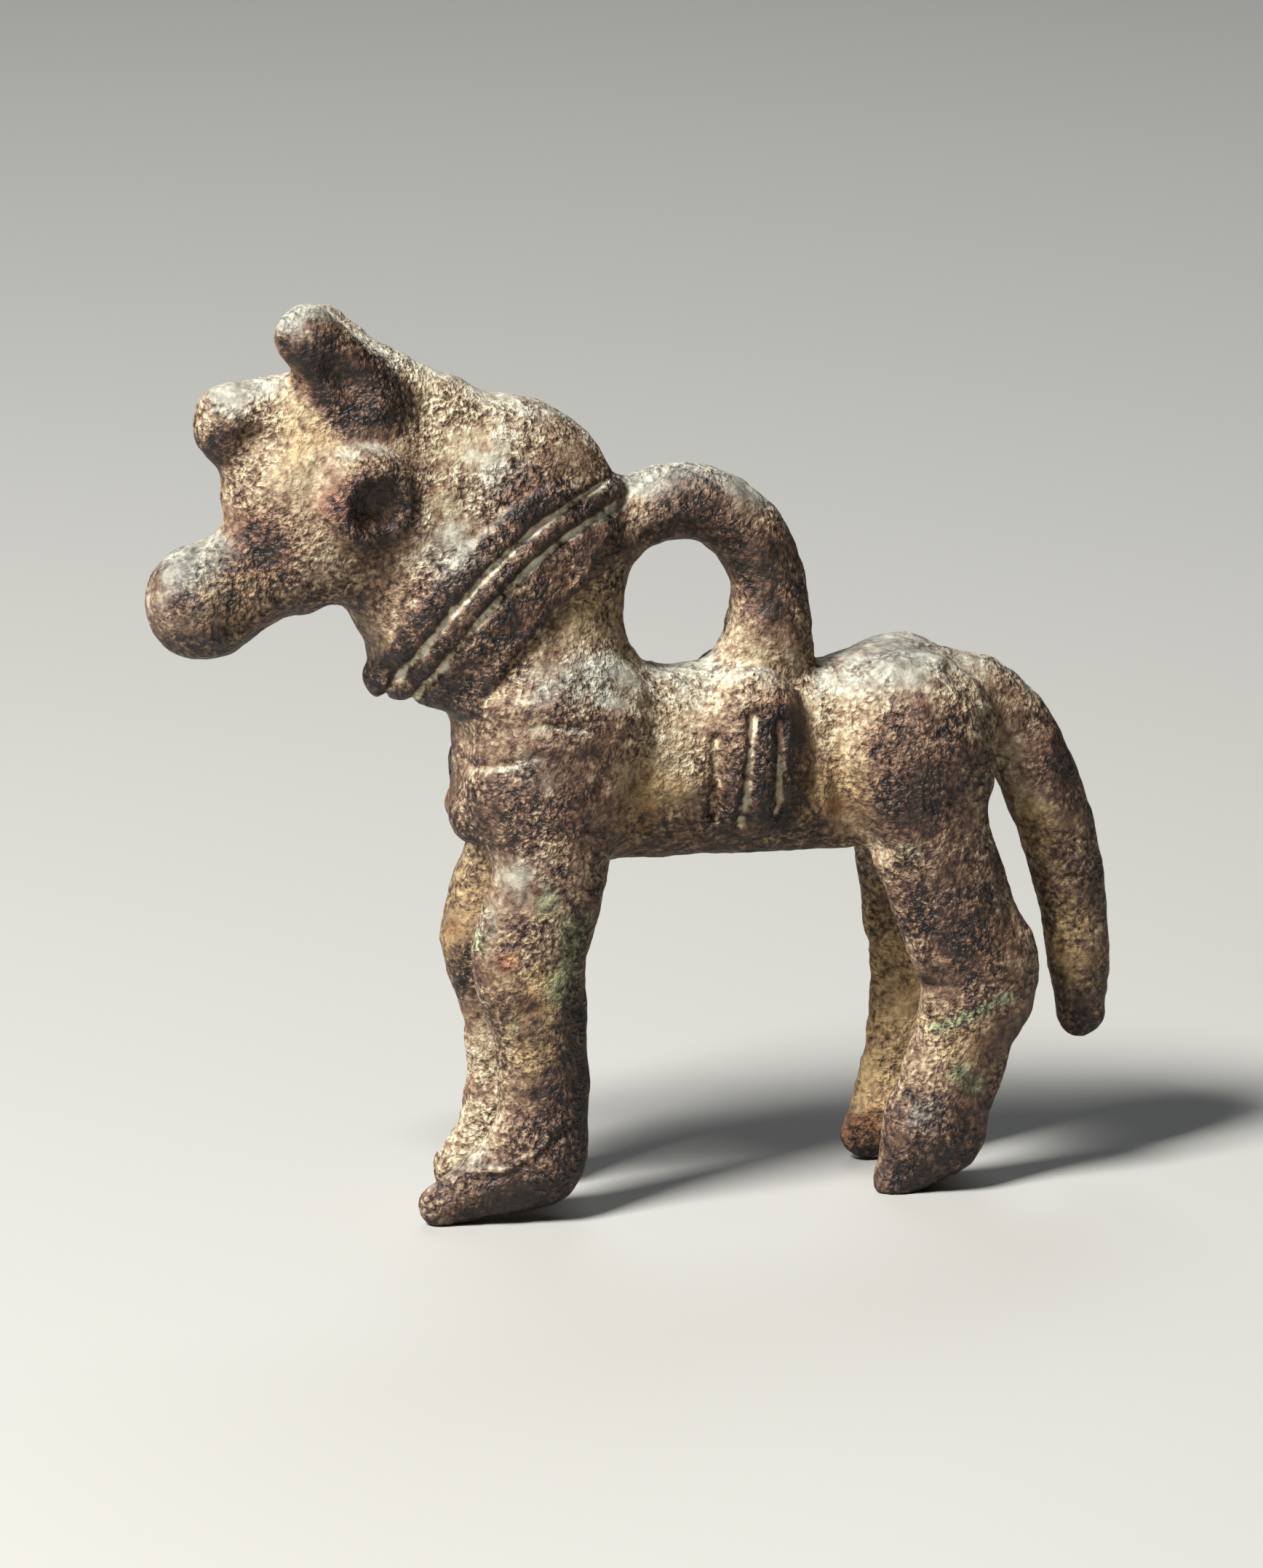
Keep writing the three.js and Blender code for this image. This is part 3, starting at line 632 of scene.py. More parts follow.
# Where the patina lies. Hollows hold soil and ridges are worn bare. A hollow is seen by how soon
# a step outwards meets metal again, and a ridge by how soon a step inwards leaves it.
STEPS_FROM_SKIN = (0.3, 0.7, 1.5)
outward = slope(horse, skin)
outward /= np.linalg.norm(outward, axis=1)[:, None]


def nearness(way):
    shares = [1 - way * horse(skin + way * outward * h) / h for h in STEPS_FROM_SKIN]
    return np.clip(np.mean(shares, axis=0), 0, 1)


# Places where the patina departs from that rule: x, y, z, radius and strength. On the right
# flank, which the photograph doesn't show, a few of the same kinds lie further apart.
PLACES = {
    "soil": [
        (-18.8, -2.0, 42.0, 2.2, 0.6), (-13.8, 0.0, 46.0, 1.4, 1.1), (-12.2, -0.6, 44.6, 1.3, 1.0),
        (-18.2, -2.7, 40.6, 1.6, 0.35), (-21.4, -1.4, 39.6, 1.5, 0.1),
        (-18.4, -3.3, 36.9, 1.9, 0.3), (-16.4, -3.4, 35.2, 2.2, 0.35), (-9.5, -1.8, 42.0, 2.4, 0.4),
        (-9.3, -2.7, 40.3, 2.4, 0.25), (-11.6, -3.6, 36.0, 2.0, 0.35),
        (-3.3, -2.9, 32.6, 2.2, 0.45), (0.9, -2.1, 27.6, 3.2, 0.75), (5.2, -1.7, 28.9, 2.4, 0.7),
        (4.9, 0.0, 32.2, 1.4, 0.4), (-0.4, -4.2, 23.4, 2.3, 0.8), (1.3, -4.0, 25.2, 2.0, 0.45),
        (9.2, -3.8, 22.8, 2.0, 0.35), (10.2, -3.2, 26.5, 2.2, 0.4), (13.6, -2.5, 28.8, 2.4, 0.1),
        (16.6, -3.4, 27.4, 2.0, 0.6), (20.3, -1.2, 19.8, 1.4, 0.7), (21.4, -1.2, 16.5, 1.4, 0.6),
        (22.6, -1.2, 12.6, 1.3, 0.4), (-8.4, 1.8, 17.4, 2.6, 0.35), (-9.2, 2.4, 14.0, 1.6, 0.25),
        (-7.9, 2.2, 8.3, 2.8, 0.45), (-8.8, -2.8, 4.6, 2.0, 0.9), (-9.0, 2.3, 2.6, 2.0, 0.9),
        (-7.0, -5.0, 8.6, 1.7, 0.6), (-7.0, -5.5, 13.6, 1.4, 0.5), (13.6, 2.2, 10.0, 3.0, 1.2),
        (13.4, 1.8, 4.4, 2.4, 1.2), (14.2, -4.4, 13.0, 1.0, 0.5), (14.5, -4.2, 10.0, 1.6, 0.4),
        (15.2, -4.6, 7.2, 1.4, 0.4),
    ],
    # Darker, bare metal. The places on the right side of the near foreleg, in the eye socket and in
    # the ear's hollow are painted shade.
    "bare_and_shade": [
        (-23.6, -1.7, 35.0, 2.2, 0.5), (-20.5, -2.6, 35.6, 1.6, 0.6), (-23.7, -1.9, 31.2, 1.8, 0.5),
        (-21.4, -1.7, 41.8, 0.9, 0.6), (-22.7, -1.1, 41.1, 0.9, 0.5), (-17.9, -2.9, 45.8, 1.3, 0.8),
        (-17.0, -3.0, 45.0, 1.4, 1.0), (-15.4, -2.9, 43.4, 1.7, 1.3), (-14.4, -3.7, 37.8, 1.6, 1.8),
        (-14.4, -2.2, 44.6, 1.3, 1.0), (-13.4, -2.6, 43.2, 1.2, 0.8), (-6.9, -3.5, 38.0, 1.5, 0.5),
        (-11.4, -4.2, 33.8, 1.1, 0.5), (2.4, -1.9, 37.0, 1.6, 0.7), (6.3, -1.9, 33.8, 2.0, 0.7),
        (6.5, -2.0, 31.1, 1.4, 0.6), (-4.6, -5.7, 23.4, 3.2, 0.5), (-9.1, -4.3, 21.9, 2.0, 0.5),
        (-2.8, -5.0, 27.0, 1.6, 0.5), (7.2, -4.2, 25.4, 1.5, 1.0), (7.1, -4.2, 22.4, 1.6, 1.1),
        (5.4, -4.4, 22.0, 1.4, 0.5), (7.0, -4.3, 24.0, 1.6, 0.5), (14.2, -5.6, 23.6, 3.0, 0.6),
        (13.0, -5.2, 20.4, 2.0, 0.6), (15.6, -5.1, 15.4, 2.6, 0.6), (16.9, -5.1, 12.8, 1.8, 0.6),
        (-7.9, -5.1, 1.9, 2.8, 1.0), (-5.5, -5.0, 3.4, 2.2, 0.8), (-4.4, -4.6, 7.0, 2.2, 1.4),
        (-5.2, -5.0, 7.4, 1.9, 0.7), (-4.3, -4.4, 10.8, 1.8, 1.0), (15.4, -5.2, 3.2, 2.4, 1.0),
        (13.3, -4.4, 1.0, 1.6, 0.7), (22.4, -1.8, 21.8, 1.6, 0.7), (24.1, -1.2, 8.4, 1.4, 0.6),
        (24.4, -1.5, 15.4, 1.6, 0.5), (23.7, -1.5, 18.8, 1.4, 0.5), (14.5, -1.5, 28.6, 2.6, 0.5),
        (-8.6, 2.2, 12.2, 1.4, 0.7), (-10.4, -1.0, 21.4, 1.2, 0.6),
    ],
    "green": [
        (-16.0, -2.4, 47.0, 0.8, 0.5), (-14.8, -2.6, 45.9, 0.8, 0.5), (-12.9, -3.8, 39.3, 0.7, 0.6),
        (-4.6, -5.1, 15.4, 1.5, 0.9), (-5.2, -5.1, 12.8, 1.4, 0.8), (-9.4, -3.8, 15.2, 1.2, 0.7),
        (-7.9, -4.9, 10.9, 0.7, 0.5), (-6.2, -5.3, 17.4, 1.2, 0.6), (13.1, -4.9, 18.6, 1.0, 0.5),
        (16.0, -4.9, 6.6, 0.7, 0.9), (16.9, -4.9, 5.8, 0.8, 0.7), (-5.0, -4.9, 28.2, 1.6, 0.3),
        (-6.0, 5.3, 15.0, 1.2, 0.8), (15.0, 5.0, 8.0, 1.1, 0.8), (2.0, 4.6, 21.5, 1.0, 0.5),
    ],
    "rust": [
        (-8.5, -5.1, 14.2, 0.8, 0.8), (-7.4, -5.3, 11.9, 0.8, 0.8), (-7.2, -5.2, 17.0, 0.9, 0.4),
        (-9.4, 2.4, 14.4, 0.9, 0.6), (-0.5, -3.9, 21.2, 1.6, 0.5), (10.0, -3.7, 20.8, 1.4, 0.5),
        (13.0, 2.4, 1.2, 1.6, 1.3), (17.1, -4.9, 8.2, 0.9, 0.5), (-22.8, -2.7, 32.8, 1.4, 0.35),
        (-14.1, -2.8, 34.0, 1.2, 0.4), (17.9, -5.2, 11.6, 0.6, 0.4), (11.3, -4.8, 25.0, 0.9, 0.4),
        (-7.6, 5.2, 12.6, 1.0, 0.6), (11.0, 4.6, 23.5, 1.2, 0.5), (1.4, 3.0, 35.5, 1.0, 0.4),
    ],
    # Pale grey patina. The places at the near ear's tip and on the loop's top are painted
    # highlights.
    "grey_and_sheen": [
        (-18.6, -1.8, 47.8, 1.4, 0.9), (-21.6, -1.3, 43.4, 1.4, 0.6), (-8.2, -3.2, 39.6, 2.2, 0.5),
        (-24.0, -1.5, 34.6, 2.6, 0.6), (-11.0, -3.7, 35.6, 2.0, 0.6), (-5.6, -4.7, 28.4, 2.2, 0.45),
        (-2.6, -4.2, 28.6, 1.5, 0.7), (1.2, -0.9, 38.6, 2.2, 0.7), (5.5, -0.6, 37.6, 1.6, 0.7),
        (13.0, -3.0, 28.0, 2.6, 0.35), (-7.9, -4.8, 18.4, 1.9, 0.5), (-9.2, -4.0, 15.8, 1.0, 0.5),
        (14.2, -4.6, 4.4, 1.0, 0.7), (-7.0, -5.5, 24.0, 1.4, 0.5), (-4.0, 4.9, 28.0, 2.4, 0.5),
        (14.0, 3.6, 28.0, 2.4, 0.5), (-15.7, 3.8, 40.4, 1.6, 0.5),
    ],
    "ochre": [
        (-0.5, -4.2, 22.0, 2.6, 0.9), (9.4, -3.8, 21.6, 2.6, 1.0), (-8.6, 1.8, 16.5, 2.6, 0.7),
        (-9.2, 2.2, 13.4, 2.0, 0.8), (14.0, 2.2, 11.0, 5.0, 1.0), (14.0, 2.2, 4.0, 3.0, 0.9),
        (20.9, -1.2, 18.5, 2.0, 1.0), (22.2, -1.2, 13.6, 2.0, 1.0), (23.4, -1.5, 10.4, 2.0, 0.8),
        (-7.2, -5.0, 8.8, 2.2, 0.6), (-22.8, -2.6, 32.4, 1.8, 0.6), (-6.6, -5.4, 13.0, 2.4, 0.7),
        (-3.4, -3.0, 32.0, 2.4, 0.5), (16.8, -4.9, 8.0, 2.4, 0.5), (-21.0, -2.6, 34.6, 2.4, 0.4),
        (6.3, -1.9, 33.5, 2.4, 0.5), (-18.4, -2.4, 41.6, 2.2, 0.6),
    ],
    "cuprite": [
        (2.4, -1.9, 37.0, 2.2, 0.4), (6.3, -1.9, 33.0, 2.4, 0.5), (-6.7, -3.5, 38.2, 1.4, 0.7),
        (-20.6, -2.3, 36.2, 1.6, 0.9), (-16.6, -4.2, 38.3, 1.6, 0.7), (12.4, -5.0, 21.6, 2.4, 0.4),
        (6.4, -4.5, 25.6, 1.8, 0.5), (22.2, -1.8, 22.4, 1.8, 0.5), (16.4, -5.0, 13.8, 2.0, 0.4),
    ],
}
GREEN_STREAK = [(14.9, -4.4, 8.9), (16.7, -5.0, 9.8), (18.6, -5.1, 10.6)]
GREEN_STREAK_HALF_WIDTH = 0.42
GREEN_STREAK_STRENGTH = 0.9
# Painted sheen: faces that look up are tinted pale grey, as the light from above would leave them.
PAINTED_SHEEN_ON_TOP = 0.5
LOOKS_UP = (0.3, 0.9)  # how steeply a face looks up where that grey begins, and where it is whole


def laid(kind):
    """How strongly one kind of place shows at each point of the skin."""
    total = np.zeros(len(skin))
    for x, y, z, radius, strength in PLACES[kind]:
        total += strength * stroke(np.linalg.norm(skin - (x, y, z), axis=1), radius)
    return np.clip(total, 0, 1)


hollow = nearness(1)
ridge = nearness(-1)
patina = {kind: laid(kind) for kind in PLACES}
patina["grey_and_sheen"] += PAINTED_SHEEN_ON_TOP * smooth(outward[:, 2], *LOOKS_UP)
streak = stroke(from_path(skin, GREEN_STREAK), GREEN_STREAK_HALF_WIDTH)
patina["green"] += GREEN_STREAK_STRENGTH * streak

# Pale soil lines the cut grooves, some of the marks are drawn pale, and the metal beside them is
# rubbed dark.
PALE_MARKS = {"hoof_edge": 0.8, "breast_ridge": 0.5, "collar_crest": 0.6}
RIB_SOIL = (0.55, 1.0, 1.0)
RUBBED_HALF_WIDTH = 0.9
RIBS_BEGIN = 2.5  # how far from the middle of the horse
CLEAR_OF_LOOP = 0.6
on_neck = smooth(loop(skin), 0, CLEAR_OF_LOOP) * (skin[:, 0] < 0)
band, grooves = collar(skin)
lined = sum(share * groove(skin, rib, **RIB_GROOVE) for rib, share in zip(RIBS, RIB_SOIL))
lined = lined / RIB_GROOVE["depth"]
lined += grooves / COLLAR["depth"] * on_neck
for mark, share in PALE_MARKS.items():
    path, half_width, _ = MARKS[mark]
    lined += share * stroke(from_path(skin, path), half_width)
patina["line"] = np.clip(lined, 0, 1)
rubbed = sum(stroke(from_path(skin, rib), RUBBED_HALF_WIDTH) for rib in RIBS)
rubbed = rubbed * (np.abs(skin[:, 1]) > RIBS_BEGIN)
rubbed = np.minimum(rubbed, 1) + band / COLLAR["raise"] * on_neck

# What adds to the soil at a place and what takes from it, and what darkens the metal: rubbing, and
# painted shade on the undersides and on faces that look back
CREASE_SOIL = 0.5
CREASE_SOIL_HALF_WIDTH = 1.1
EVEN_SOIL = 0.1
LEAST_SOIL = -0.42
# Soil settles on faces that look up. The thinner soil and darker tone on faces that look down is
# painted shade.
SOIL_SHARES = {"hollow": 0.9, "top": 0.25, "ridge": -0.8, "bare_and_shade": -0.7, "rubbed": -0.4}
BARE_AND_SHADE_SHARES = {"rubbed": 0.6, "underside": 1.1, "rear": 0.45}
MOST_BARE_AND_SHADE = 1.7
for path, _, _ in CREASES.values():
    patina["soil"] += CREASE_SOIL * stroke(from_path(skin, path), CREASE_SOIL_HALF_WIDTH)
causes = {
    "hollow": hollow,
    "ridge": ridge,
    "rubbed": rubbed,
    "bare_and_shade": patina["bare_and_shade"],
    "top": outward[:, 2],
    # Painted shade: undersides and faces that look back are darkened along with the bare metal.
    "underside": np.maximum(-outward[:, 2], 0),
    "rear": np.maximum(outward[:, 0], 0),
}
soil = EVEN_SOIL + patina["soil"]
soil += sum(share * causes[cause] for cause, share in SOIL_SHARES.items())
bare_and_shade = patina["bare_and_shade"] + sum(share * causes[cause] for cause, share in BARE_AND_SHADE_SHARES.items())
patina["bare_and_shade"] = np.clip(bare_and_shade, 0, MOST_BARE_AND_SHADE)
patina["soil"] = np.where(soil < 0, LEAST_SOIL * np.tanh(soil / LEAST_SOIL), np.tanh(soil))

casting_mesh = bpy.data.meshes.new("horse")
casting_mesh.from_pydata((skin * MM).tolist(), [], faces.tolist())
for name, amount in patina.items():
    layer = casting_mesh.attributes.new(name, "FLOAT", "POINT")
    layer.data.foreach_set("value", amount.astype(np.float32))
casting_mesh.polygons.foreach_set("use_smooth", [True] * len(faces))
horse_piece = bpy.data.objects.new("horse", casting_mesh)
bpy.context.scene.collection.objects.link(horse_piece)


# The patina: dark umber bronze, darker still as painted shade on the undersides, on faces that look
# back and in the eye and ear hollows, under grey that is partly a painted sheen on faces that look
# up, with soil caked in the hollows, and spots of green, ochre, plum and rust. Grain of several
# sizes breaks up the edge of each. Sizes of grain are in millimetres, and an offset only keeps one
# grain's pattern apart from the next.
def linear(red, green, blue):
    """A colour from its 0 to 255 screen values."""
    parts = [v / 255 for v in (red, green, blue)]
    return (*[p / 12.92 if p < 0.04045 else ((p + 0.055) / 1.055) ** 2.4 for p in parts], 1.0)


TONES = [
    (0.0, linear(18, 11, 9)),
    (0.2, linear(60, 41, 32)),
    (0.4, linear(108, 82, 64)),
    (0.6, linear(149, 131, 105)),
    (0.8, linear(188, 178, 151)),
    (1.0, linear(218, 213, 193)),
]
PALE_GREY_AND_SHEEN = linear(166, 168, 157)
CUPRITE = linear(116, 82, 68)
OCHRE = linear(164, 134, 92)
RUST = linear(140, 90, 62)
VERDIGRIS = linear(110, 128, 94)
BUMP_HEIGHT = 0.14 * MM
SMOOTHEST = 0.52
ROUGHER_WHERE_SOILED = 0.33

patina_finish = bpy.data.materials.new("patinated_bronze")
patina_finish.use_nodes = True
tree = patina_finish.node_tree
tree.nodes.clear()


def wire_up(socket, value):
    if isinstance(value, bpy.types.NodeSocket):
        tree.links.new(value, socket)
    else:
        socket.default_value = value


def worked(operation, *values):
    node = tree.nodes.new("ShaderNodeMath")
    node.operation = operation
    for socket, value in zip(node.inputs, values):
        wire_up(socket, value)
    return node.outputs[0]


def weighed(start, *layers):
    """A starting value, and a share of each layer added to it."""
    total = start
    for layer, share in layers:
        total = worked("MULTIPLY_ADD", layer, share, total)
    return total


def grain(size, detail, offset):
    """Cloudy grain of a size in millimetres, about -0.5 to 0.5."""
    node = tree.nodes.new("ShaderNodeTexNoise")
    node.inputs["Scale"].default_value = 1 / (size * MM)
    node.inputs["Detail"].default_value = detail
    node.inputs["Roughness"].default_value = 0.5
    tree.links.new(moved_by(offset), node.inputs["Vector"])
    return worked("SUBTRACT", node.outputs["Fac"], 0.5)


def chips(size, offset):
    """Rounded grains packed side by side: 0.5 in the middle of each, and lower in the gaps."""
    node = tree.nodes.new("ShaderNodeTexVoronoi")
    node.inputs["Scale"].default_value = 1 / (size * MM)
    tree.links.new(moved_by(offset), node.inputs["Vector"])
    return worked("SUBTRACT", 0.5, node.outputs["Distance"])


def moved_by(offset):
    shift = tree.nodes.new("ShaderNodeVectorMath")
    shift.operation = "ADD"
    shift.inputs[1].default_value = (offset, offset, offset)
    tree.links.new(place, shift.inputs[0])
    return shift.outputs[0]


def attribute(name):
    node = tree.nodes.new("ShaderNodeAttribute")
    node.attribute_name = name
    return node.outputs["Fac"]


def mask(value, low, high):
    node = tree.nodes.new("ShaderNodeMapRange")
    node.interpolation_type = "SMOOTHSTEP"
    wire_up(node.inputs["Value"], value)
    node.inputs["From Min"].default_value = low
    node.inputs["From Max"].default_value = high
    return node.outputs["Result"]


def tinted(factor, colour, hue):
    """Gives a colour another hue, and keeps how light it is."""
    node = tree.nodes.new("ShaderNodeMix")
    node.data_type = "RGBA"
    node.blend_type = "COLOR"
    wire_up(node.inputs[0], factor)
    wire_up(node.inputs[6], colour)
    wire_up(node.inputs[7], hue)
    return node.outputs[2]


def broken(name, middle, low, high):
    """A patch of the patina, its edge broken up by grain."""
    ragged = weighed(clots, (grit, GRIT_IN_EDGES))
    return mask(worked("ADD", worked("SUBTRACT", attribute(name), middle), ragged), low, high)


# The place is nudged about a little, so that no grain is round or straight-sided.
NUDGE = 0.35 * MM
NUDGE_SIZE = 0.6 * MM
straight = tree.nodes.new("ShaderNodeTexCoord").outputs["Object"]
sway = tree.nodes.new("ShaderNodeTexNoise")
sway.inputs["Scale"].default_value = 1 / NUDGE_SIZE
sway.inputs["Detail"].default_value = 2.0
tree.links.new(straight, sway.inputs["Vector"])
nudged = tree.nodes.new("ShaderNodeVectorMath")
nudged.operation = "MULTIPLY_ADD"
nudged.inputs[1].default_value = (NUDGE, NUDGE, NUDGE)
tree.links.new(sway.outputs["Color"], nudged.inputs[0])
tree.links.new(straight, nudged.inputs[2])
place = nudged.outputs[0]

clouds = grain(size=3.6, detail=2.0, offset=0.0)
clots = grain(size=1.2, detail=3.0, offset=0.013)
flecks = grain(size=0.6, detail=2.0, offset=0.083)
PALE_FROM = 0.3
# The grey places and the painted sheen on faces that look up, broken up by grain.
pale_and_sheen = worked("SUBTRACT", attribute("grey_and_sheen"), PALE_FROM)
pale_and_sheen = mask(worked("ADD", pale_and_sheen, clots), low=-0.2, high=0.5)
pale_line = weighed(attribute("line"), (clots, 0.9), (flecks, 0.6))
pale_line = mask(pale_line, low=0.35, high=0.9)

# Fine grains lie over the skin, thickly in some places and thinly in others. Fewer of them show on
# the pale grey patches and in the pale lines.
GRIT_EVERYWHERE = 0.45
LEAST_GRIT = 0.2
GRIT_IN_EDGES = 0.5
thickly = mask(grain(size=2.8, detail=1.0, offset=0.071), low=-0.16, high=0.14)
strength = weighed(GRIT_EVERYWHERE, (thickly, 0.75), (pale_and_sheen, -0.3), (pale_line, -0.4))
grit = weighed(
    0.0,
    (chips(size=0.34, offset=0.031), 0.8),
    (grain(size=0.27, detail=2.0, offset=0.047), 1.5),
    (grain(size=0.15, detail=1.0, offset=0.059), 0.9),
)
grit = worked("MULTIPLY", grit, worked("MAXIMUM", strength, LEAST_GRIT))
plum = broken("cuprite", middle=0.35, low=-0.25, high=0.5)
rusty = broken("rust", middle=0.4, low=-0.15, high=0.4)
sandy = broken("ochre", middle=0.4, low=-0.25, high=0.5)
greened = broken("green", middle=0.4, low=-0.15, high=0.5)
soiled = mask(weighed(attribute("soil"), (clots, 1.0), (grit, 0.35)), low=-0.45, high=0.85)

# How light the metal is, and how much each layer of the patina lightens or darkens it
METAL_TONE = 0.31
tone = weighed(
    METAL_TONE,
    (soiled, 0.34),
    # Bare metal darkens it, and so does the painted shade on undersides, on faces that look back
    # and in the eye and ear hollows.
    (attribute("bare_and_shade"), -0.16),
    (plum, -0.12),
    (rusty, -0.14),
    (pale_line, 0.58),
    (grit, 0.5),
    (flecks, 0.6),
    (clots, 0.22),
    (clouds, 0.25),
    (pale_and_sheen, 0.03),
)
tone_ramp = tree.nodes.new("ShaderNodeValToRGB")
tree.links.new(tone, tone_ramp.inputs["Fac"])
for position, _ in TONES[2:]:
    tone_ramp.color_ramp.elements.new(position)
for stop, (position, tone_colour) in zip(tone_ramp.color_ramp.elements, TONES):
    stop.position = position
    stop.color = tone_colour

# The hue of each layer, and how much of it shows
colour = tone_ramp.outputs["Color"]
for layer, share, hue in [
    # Grey patina, and the painted sheen on tops, at the ear's tip and on the loop.
    (pale_and_sheen, 0.8, PALE_GREY_AND_SHEEN),
    (plum, 1.0, CUPRITE),
    (sandy, 0.8, OCHRE),
    (rusty, 0.7, RUST),
    (greened, 0.6, VERDIGRIS),
]:
    colour = tinted(worked("MULTIPLY", layer, share), colour, hue)

bump = tree.nodes.new("ShaderNodeBump")
bump.inputs["Strength"].default_value = 1.0
bump.inputs["Distance"].default_value = BUMP_HEIGHT
wire_up(bump.inputs["Height"], grit)

bronze = tree.nodes.new("ShaderNodeBsdfPrincipled")
bronze.inputs["IOR"].default_value = 1.48
bronze.inputs["Metallic"].default_value = 0.05
wire_up(bronze.inputs["Base Color"], colour)
wire_up(bronze.inputs["Roughness"], weighed(SMOOTHEST, (soiled, ROUGHER_WHERE_SOILED)))
wire_up(bronze.inputs["Normal"], bump.outputs["Normal"])
finished = tree.nodes.new("ShaderNodeOutputMaterial")
tree.links.new(bronze.outputs["BSDF"], finished.inputs["Surface"])

# The cast skin: low lumps left by the wax, a crust where soil is caked, and small casting pits
# strewn over it. The tree works on the traced skin, and its result becomes a plain mesh.
relief = bpy.data.node_groups.new("cast_skin", "GeometryNodeTree")
relief.interface.new_socket("Geometry", in_out="INPUT", socket_type="NodeSocketGeometry")
RELIEF = {
    "Lump Size": 2.0 * MM,
    "Lump Height": 0.45 * MM,
    "Crust Size": 0.8 * MM,
    "Crust Height": 0.32 * MM,
    "Pit Radius": 0.34 * MM,
    "Pit Depth": 0.1 * MM,
    "Pits Per Area": 0.16 / MM ** 2,
}
PIT_SEED = 11
CRUST_WITHOUT_SOIL = 0.35
CRUST_FROM_SOIL = 0.8
LEAST_CRUST = 0.3
MOST_CRUST = 1.2
FLAT_BELOW = 0.05 * MM  # the soles stay flat up to here, and the relief is whole from WHOLE_ABOVE
WHOLE_ABOVE = 0.5 * MM
for name in RELIEF:
    relief.interface.new_socket(name, in_out="INPUT", socket_type="NodeSocketFloat")
relief.interface.new_socket("Seed", in_out="INPUT", socket_type="NodeSocketInt")
relief.interface.new_socket("Finish", in_out="INPUT", socket_type="NodeSocketMaterial")
relief.interface.new_socket("Geometry", in_out="OUTPUT", socket_type="NodeSocketGeometry")
given = relief.nodes.new("NodeGroupInput")


def relief_node(kind, **inputs):
    node = relief.nodes.new(kind)
    for name, value in inputs.items():
        socket = node.inputs[name.replace("_", " ")]
        if isinstance(value, bpy.types.NodeSocket):
            relief.links.new(value, socket)
        else:
            socket.default_value = value
    return node


def relief_sum(operation, *values):
    node = relief.nodes.new("ShaderNodeMath")
    node.operation = operation
    for socket, value in zip(node.inputs, values):
        if isinstance(value, bpy.types.NodeSocket):
            relief.links.new(value, socket)
        else:
            socket.default_value = value
    return node.outputs[0]


def lumps(size, height, detail):
    scale = relief_sum("DIVIDE", 1.0, size)
    noise = relief_node("ShaderNodeTexNoise", Scale=scale, Detail=detail, Roughness=0.55)
    return relief_sum("MULTIPLY", relief_sum("SUBTRACT", noise.outputs["Fac"], 0.5), height)


def named(name):
    return relief_node("GeometryNodeInputNamedAttribute", Name=name).outputs["Attribute"]


pits = relief_node(
    "GeometryNodeDistributePointsOnFaces",
    Mesh=given.outputs["Geometry"],
    Density=given.outputs["Pits Per Area"],
    Seed=given.outputs["Seed"],
)
to_pit = relief.nodes.new("GeometryNodeProximity")
to_pit.target_element = "POINTS"
relief.links.new(pits.outputs["Points"], to_pit.inputs[0])
dip = relief.nodes.new("ShaderNodeMapRange")
dip.interpolation_type = "SMOOTHSTEP"
wobble = lumps(given.outputs["Crust Size"], given.outputs["Pit Radius"], detail=2.0)
relief.links.new(relief_sum("ADD", to_pit.outputs["Distance"], wobble), dip.inputs["Value"])
dip.inputs["From Min"].default_value = 0.0
relief.links.new(given.outputs["Pit Radius"], dip.inputs["From Max"])
relief.links.new(relief_sum("MULTIPLY", given.outputs["Pit Depth"], -1.0), dip.inputs["To Min"])
dip.inputs["To Max"].default_value = 0.0

crusted = relief_sum("MULTIPLY", named("soil"), CRUST_FROM_SOIL)
crusted = relief_sum("ADD", crusted, CRUST_WITHOUT_SOIL)
crusted = relief_sum("MAXIMUM", relief_sum("MINIMUM", crusted, MOST_CRUST), LEAST_CRUST)
wax = lumps(given.outputs["Lump Size"], given.outputs["Lump Height"], detail=2.0)
crust = lumps(given.outputs["Crust Size"], given.outputs["Crust Height"], detail=3.0)
crust = relief_sum("MULTIPLY", crust, crusted)
raised = relief_sum("ADD", relief_sum("ADD", wax, crust), dip.outputs["Result"])
where = relief.nodes.new("GeometryNodeInputPosition")
height = relief.nodes.new("ShaderNodeSeparateXYZ")
relief.links.new(where.outputs[0], height.inputs[0])
off_sole = relief.nodes.new("ShaderNodeMapRange")
relief.links.new(height.outputs["Z"], off_sole.inputs["Value"])
off_sole.inputs["From Min"].default_value = FLAT_BELOW
off_sole.inputs["From Max"].default_value = WHOLE_ABOVE
moved = relief.nodes.new("ShaderNodeVectorMath")
moved.operation = "SCALE"
relief.links.new(relief_node("GeometryNodeInputNormal").outputs[0], moved.inputs[0])
relief.links.new(relief_sum("MULTIPLY", raised, off_sole.outputs["Result"]), moved.inputs["Scale"])
put = relief_node(
    "GeometryNodeSetPosition",
    Geometry=given.outputs["Geometry"],
    Offset=moved.outputs[0],
)
whole = relief_node("GeometryNodeRealizeInstances", Geometry=put.outputs[0])
finish = relief_node(
    "GeometryNodeSetMaterial",
    Geometry=whole.outputs[0],
    Material=given.outputs["Finish"],
)
relief.links.new(finish.outputs[0], relief.nodes.new("NodeGroupOutput").inputs[0])

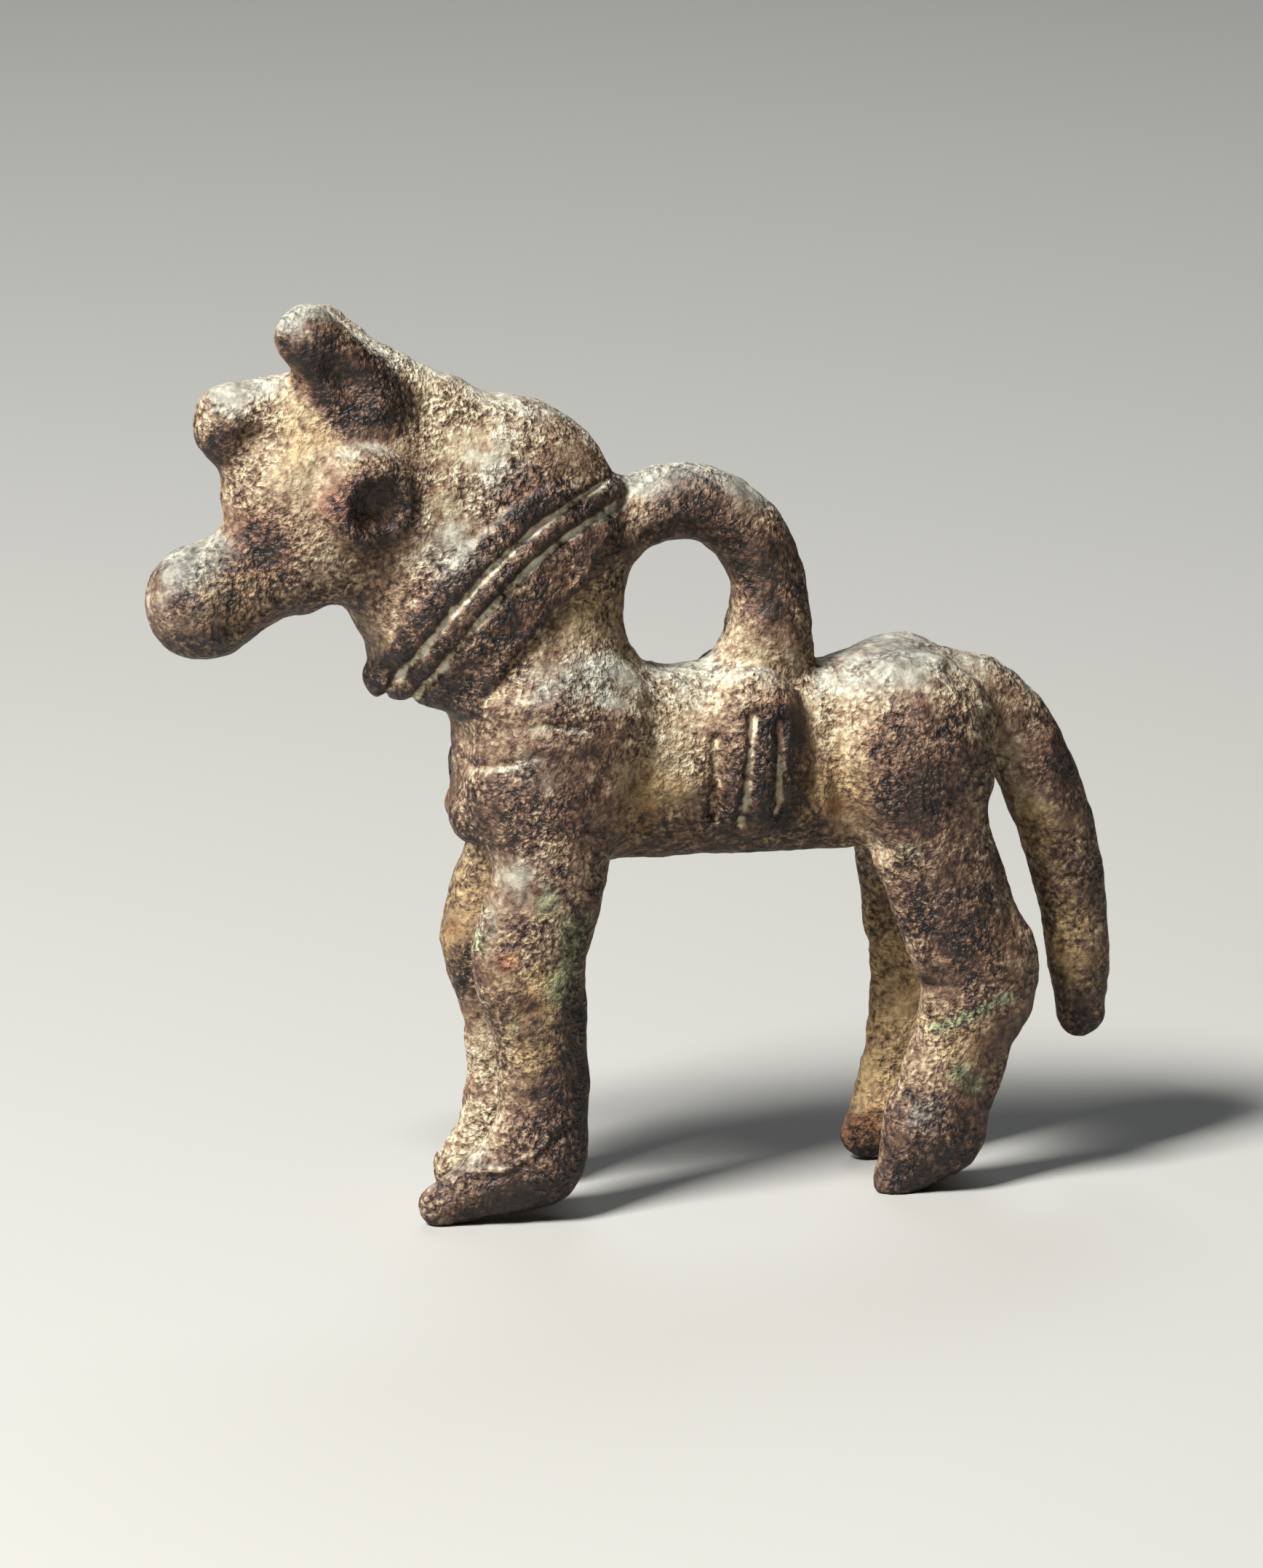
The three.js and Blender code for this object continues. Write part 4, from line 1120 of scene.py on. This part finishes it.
modifier = horse_piece.modifiers.new("cast_skin", "NODES")
modifier.node_group = relief
given_sockets = [item for item in relief.interface.items_tree if item.in_out == "INPUT"]
sockets = {item.name: item.identifier for item in given_sockets}
for name, value in RELIEF.items():
    modifier[sockets[name]] = value
modifier[sockets["Seed"]] = PIT_SEED
modifier[sockets["Finish"]] = patina_finish
depsgraph = bpy.context.evaluated_depsgraph_get()
finished_mesh = bpy.data.meshes.new_from_object(horse_piece.evaluated_get(depsgraph))
horse_piece.modifiers.remove(modifier)
horse_piece.data = finished_mesh
bpy.data.meshes.remove(casting_mesh)

# The relief never stands out past the casting's own box.
lowest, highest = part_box("horse_with_loop")
places = np.empty(len(finished_mesh.vertices) * 3, np.float32)
finished_mesh.vertices.foreach_get("co", places)
places = np.clip(places.reshape(-1, 3), np.array(lowest), np.array(highest))
finished_mesh.vertices.foreach_set("co", places.ravel())
finished_mesh.update()

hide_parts("horse_with_loop")
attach(horse_piece, "root")

# The floor and the light
# A plain pale floor, a large soft light from above on the horse's left, and two weaker ones.
FLOOR_SIZE = 6.0
FLOOR_DROP = 0.00002  # keeps the floor clear of the soles
PAPER = linear(158, 157, 153)
floor_mesh = bpy.data.meshes.new("floor")
half = FLOOR_SIZE / 2
corners = [(-half, -half), (half, -half), (half, half), (-half, half)]
floor_mesh.from_pydata([(x, y, -FLOOR_DROP) for x, y in corners], [], [(0, 1, 2, 3)])
floor = bpy.data.objects.new("floor", floor_mesh)
bpy.context.scene.collection.objects.link(floor)
paper = bpy.data.materials.new("floor_paper")
paper.use_nodes = True
paper_finish = paper.node_tree.nodes["Principled BSDF"]
paper_finish.inputs["Base Color"].default_value = PAPER
paper_finish.inputs["Roughness"].default_value = 0.9
floor_mesh.materials.append(paper)
floor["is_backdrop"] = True

LIGHTS = {
    "overhead": {
        "at": (-0.34, -0.18, 0.48),
        "size": 0.16,
        "watts": 10.0,
        "colour": (1.0, 0.99, 0.96),
    },
    "behind": {"at": (0.1, 0.5, 0.5), "size": 0.3, "watts": 1.5, "colour": (0.9, 0.95, 1.0)},
    "front": {"at": (-0.5, -0.5, 0.15), "size": 0.4, "watts": 0.25, "colour": (1.0, 0.98, 0.95)},
}
for name, light in LIGHTS.items():
    lamp = bpy.data.lights.new(name, "AREA")
    lamp.size = light["size"]
    lamp.energy = light["watts"]
    lamp.color = light["colour"]
    holder = bpy.data.objects.new(name, lamp)
    holder.location = light["at"]
    holder.rotation_euler = (Vector(light["at"]) - LOOK_AT).to_track_quat("Z", "Y").to_euler()
    bpy.context.scene.collection.objects.link(holder)

ROOM_COLOUR = (0.9, 0.93, 1.0, 1.0)
ROOM_STRENGTH = 0.022
world = bpy.data.worlds.new("room")
world.use_nodes = True
room = world.node_tree.nodes["Background"]
room.inputs["Color"].default_value = ROOM_COLOUR
room.inputs["Strength"].default_value = ROOM_STRENGTH
bpy.context.scene.world = world
bpy.context.scene.view_settings.view_transform = "Standard"

boxes = {"cad": cad_box, "visual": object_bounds()}
{name: [list(corner) for corner in box] for name, box in boxes.items()}
